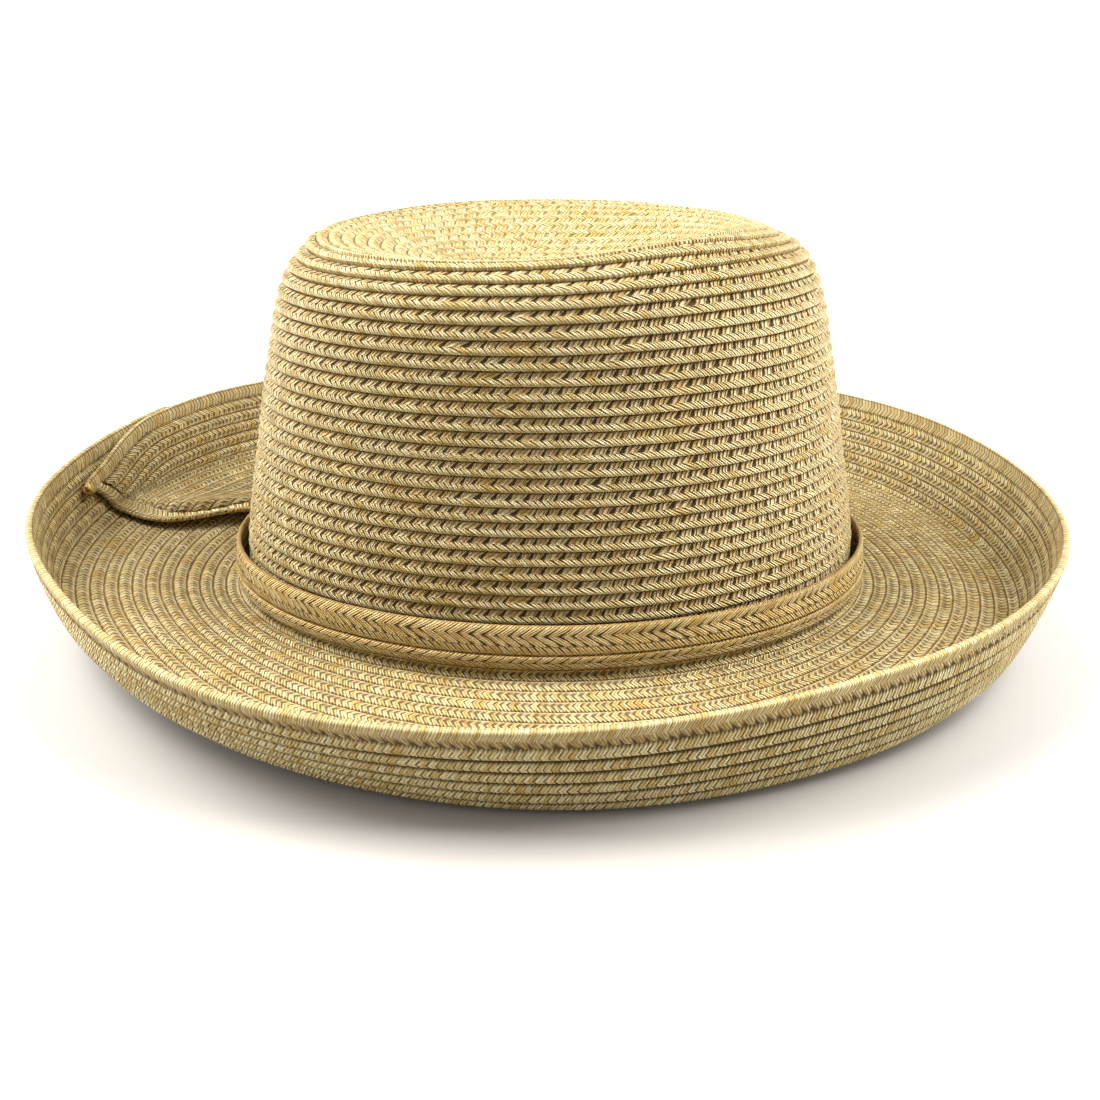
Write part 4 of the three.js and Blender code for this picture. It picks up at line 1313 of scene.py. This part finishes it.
class HAT_OT_studio(bpy.types.Operator):
    """Add the pale floor, the soft lights, the camera and the white sky"""
    bl_idname = "hat.studio"
    bl_label = "Studio"

    def execute(self, context):
        studio = context.scene.studio
        self.add_floor()
        self.add_light("left light", **LEFT_LIGHT, power=studio.left_light)
        self.add_light("right light", **RIGHT_LIGHT, power=studio.right_light)
        self.add_light("top light", **TOP_LIGHT, power=studio.top_light)
        self.add_camera(studio)
        self.add_sky(context, studio)
        return {"FINISHED"}

    def add_floor(self):
        deselect_all()
        bpy.ops.mesh.primitive_circle_add(
            vertices=96, radius=FLOOR_RADIUS, fill_type="NGON", location=(0, 0, -FLOOR_DROP))
        floor = bpy.context.object
        floor.name = "floor"
        floor.data.materials.append(self.floor_material())

    def floor_material(self):
        made = bpy.data.materials.new("studio floor")
        made.use_nodes = True
        w = Wiring(made.node_tree)
        shader = made.node_tree.nodes["Principled BSDF"]
        place = w.node("ShaderNodeTexCoord")
        noise = w.node("ShaderNodeTexNoise", {"Vector": place.outputs["Object"], "Scale": 6.0,
                                              "Detail": 4.0})
        tint = shade(bpy.context.scene.straw_colours.floor)
        paler = tuple(min(1.0, value * 1.02) for value in tint)
        w.put(shader.inputs["Base Color"], w.blend(noise.outputs[0], tint, paler))
        shader.inputs["Roughness"].default_value = 0.8
        shader.inputs["Specular IOR Level"].default_value = 0.2
        shader.inputs["Emission Color"].default_value = (1.0, 1.0, 1.0, 1)
        wide = w.node("ShaderNodeVectorMath", {
            0: place.outputs["Object"], 1: (FLOOR_STRETCH, 1, 1)}, operation="MULTIPLY")
        away = w.node("ShaderNodeVectorMath", {0: wide.outputs[0]}, operation="LENGTH")
        # Painted shadow: no glow within GLOW_START of the hat, so the dark floor shows round it,
        # turning white by GLOW_END
        glow = w.ramp(away.outputs["Value"], GLOW_START, GLOW_END, 0.0, FLOOR_GLOW)
        parts = w.node("ShaderNodeSeparateXYZ", {"Vector": place.outputs["Object"]})
        sideways = w.apart(parts.outputs[0], 0)
        cast = w.ramp(sideways, SIDE_GLOW_START, SIDE_GLOW_END, FRONT_GLOW, SIDE_GLOW)
        seen = w.node("ShaderNodeLightPath").outputs["Is Camera Ray"]
        w.put(shader.inputs["Emission Strength"], w.times(glow, w.between(seen, cast, 1.0)))
        return made

    def add_light(self, name, place, size, power):
        deselect_all()
        bpy.ops.object.light_add(type="AREA", location=place)
        light = bpy.context.object
        light.name = name
        light.data.shape = "RECTANGLE"
        light.data.size, light.data.size_y = size
        light.data.energy = power
        way = Vector(LIGHT_AIM) - Vector(place)
        light.rotation_euler = way.to_track_quat("-Z", "Y").to_euler()

    def add_camera(self, studio):
        deselect_all()
        bpy.ops.object.camera_add()
        camera = bpy.context.object
        level = Vector((0, -studio.camera_distance, studio.camera_height))
        tilt = Quaternion((1, 0, 0), math.pi / 2 - studio.camera_pitch)
        camera.location = HAT_TURN @ level + HAT_PLACE
        camera.rotation_euler = (HAT_TURN @ tilt).to_euler()
        camera.data.lens = studio.camera_lens
        camera.data.sensor_width = SENSOR_WIDTH
        camera.data.clip_start = 0.01
        bpy.context.scene.camera = camera

    def add_sky(self, context, studio):
        """White to the camera. Its light is strongest at the two sides, and weak from straight
        above and from behind the camera."""
        world = context.scene.world or bpy.data.worlds.new("studio sky")
        context.scene.world = world
        world.use_nodes = True
        w = Wiring(world.node_tree)
        back = world.node_tree.nodes["Background"]
        way = w.node("ShaderNodeTexCoord")
        parts = w.node("ShaderNodeSeparateXYZ", {"Vector": way.outputs["Generated"]})
        strength = w.ramp(parts.outputs[1], -0.5, 0.6, studio.front_sky, studio.sky)
        sideways = w.math("ABSOLUTE", parts.outputs[0])
        beside = w.ramp(sideways, 0.4, 1.0, 0.0, studio.side_sky)
        beside = w.times(beside, w.ramp(parts.outputs[1], -0.75, -0.05, 0.1, 1.0))
        strength = w.plus(strength, beside)
        strength = w.times(strength, w.ramp(parts.outputs[2], 0.35, 1.0, 1.0, 0.15))
        seen = w.node("ShaderNodeLightPath").outputs["Is Camera Ray"]
        w.put(back.inputs["Strength"], w.between(seen, strength, studio.sky))
        back.inputs["Color"].default_value = (1.0, 1.0, 1.0, 1)
        context.scene.view_settings.view_transform = "Standard"


class HAT_PT_panel(bpy.types.Panel):
    """Lists the hat's pieces and the studio"""
    bl_idname = "HAT_PT_panel"
    bl_label = "Straw hat"
    bl_space_type = "VIEW_3D"
    bl_region_type = "UI"
    bl_category = "Straw hat"

    def draw(self, context):
        for operator in OPERATORS:
            self.layout.operator(operator.bl_idname)
        for owner in (context.scene.hat_sizes, context.scene.straw_colours, context.scene.studio):
            for name in owner.__annotations__:
                self.layout.prop(owner, name)


OPERATORS = (HAT_OT_crown, HAT_OT_brim, HAT_OT_rim, HAT_OT_band, HAT_OT_studio)
CLASSES = (HatSizes, StrawColours, StudioSettings, *OPERATORS, HAT_PT_panel)


def register():
    for item in CLASSES:
        bpy.utils.register_class(item)
    bpy.types.Scene.hat_sizes = bpy.props.PointerProperty(type=HatSizes)
    bpy.types.Scene.straw_colours = bpy.props.PointerProperty(type=StrawColours)
    bpy.types.Scene.studio = bpy.props.PointerProperty(type=StudioSettings)


def unregister():
    del bpy.types.Scene.studio
    del bpy.types.Scene.straw_colours
    del bpy.types.Scene.hat_sizes
    for item in reversed(CLASSES):
        bpy.utils.unregister_class(item)


def main():
    register()
    bpy.ops.hat.crown()
    bpy.ops.hat.brim()
    bpy.ops.hat.rim()
    bpy.ops.hat.band()
    bpy.ops.hat.studio()


if __name__ == "__main__":
    main()
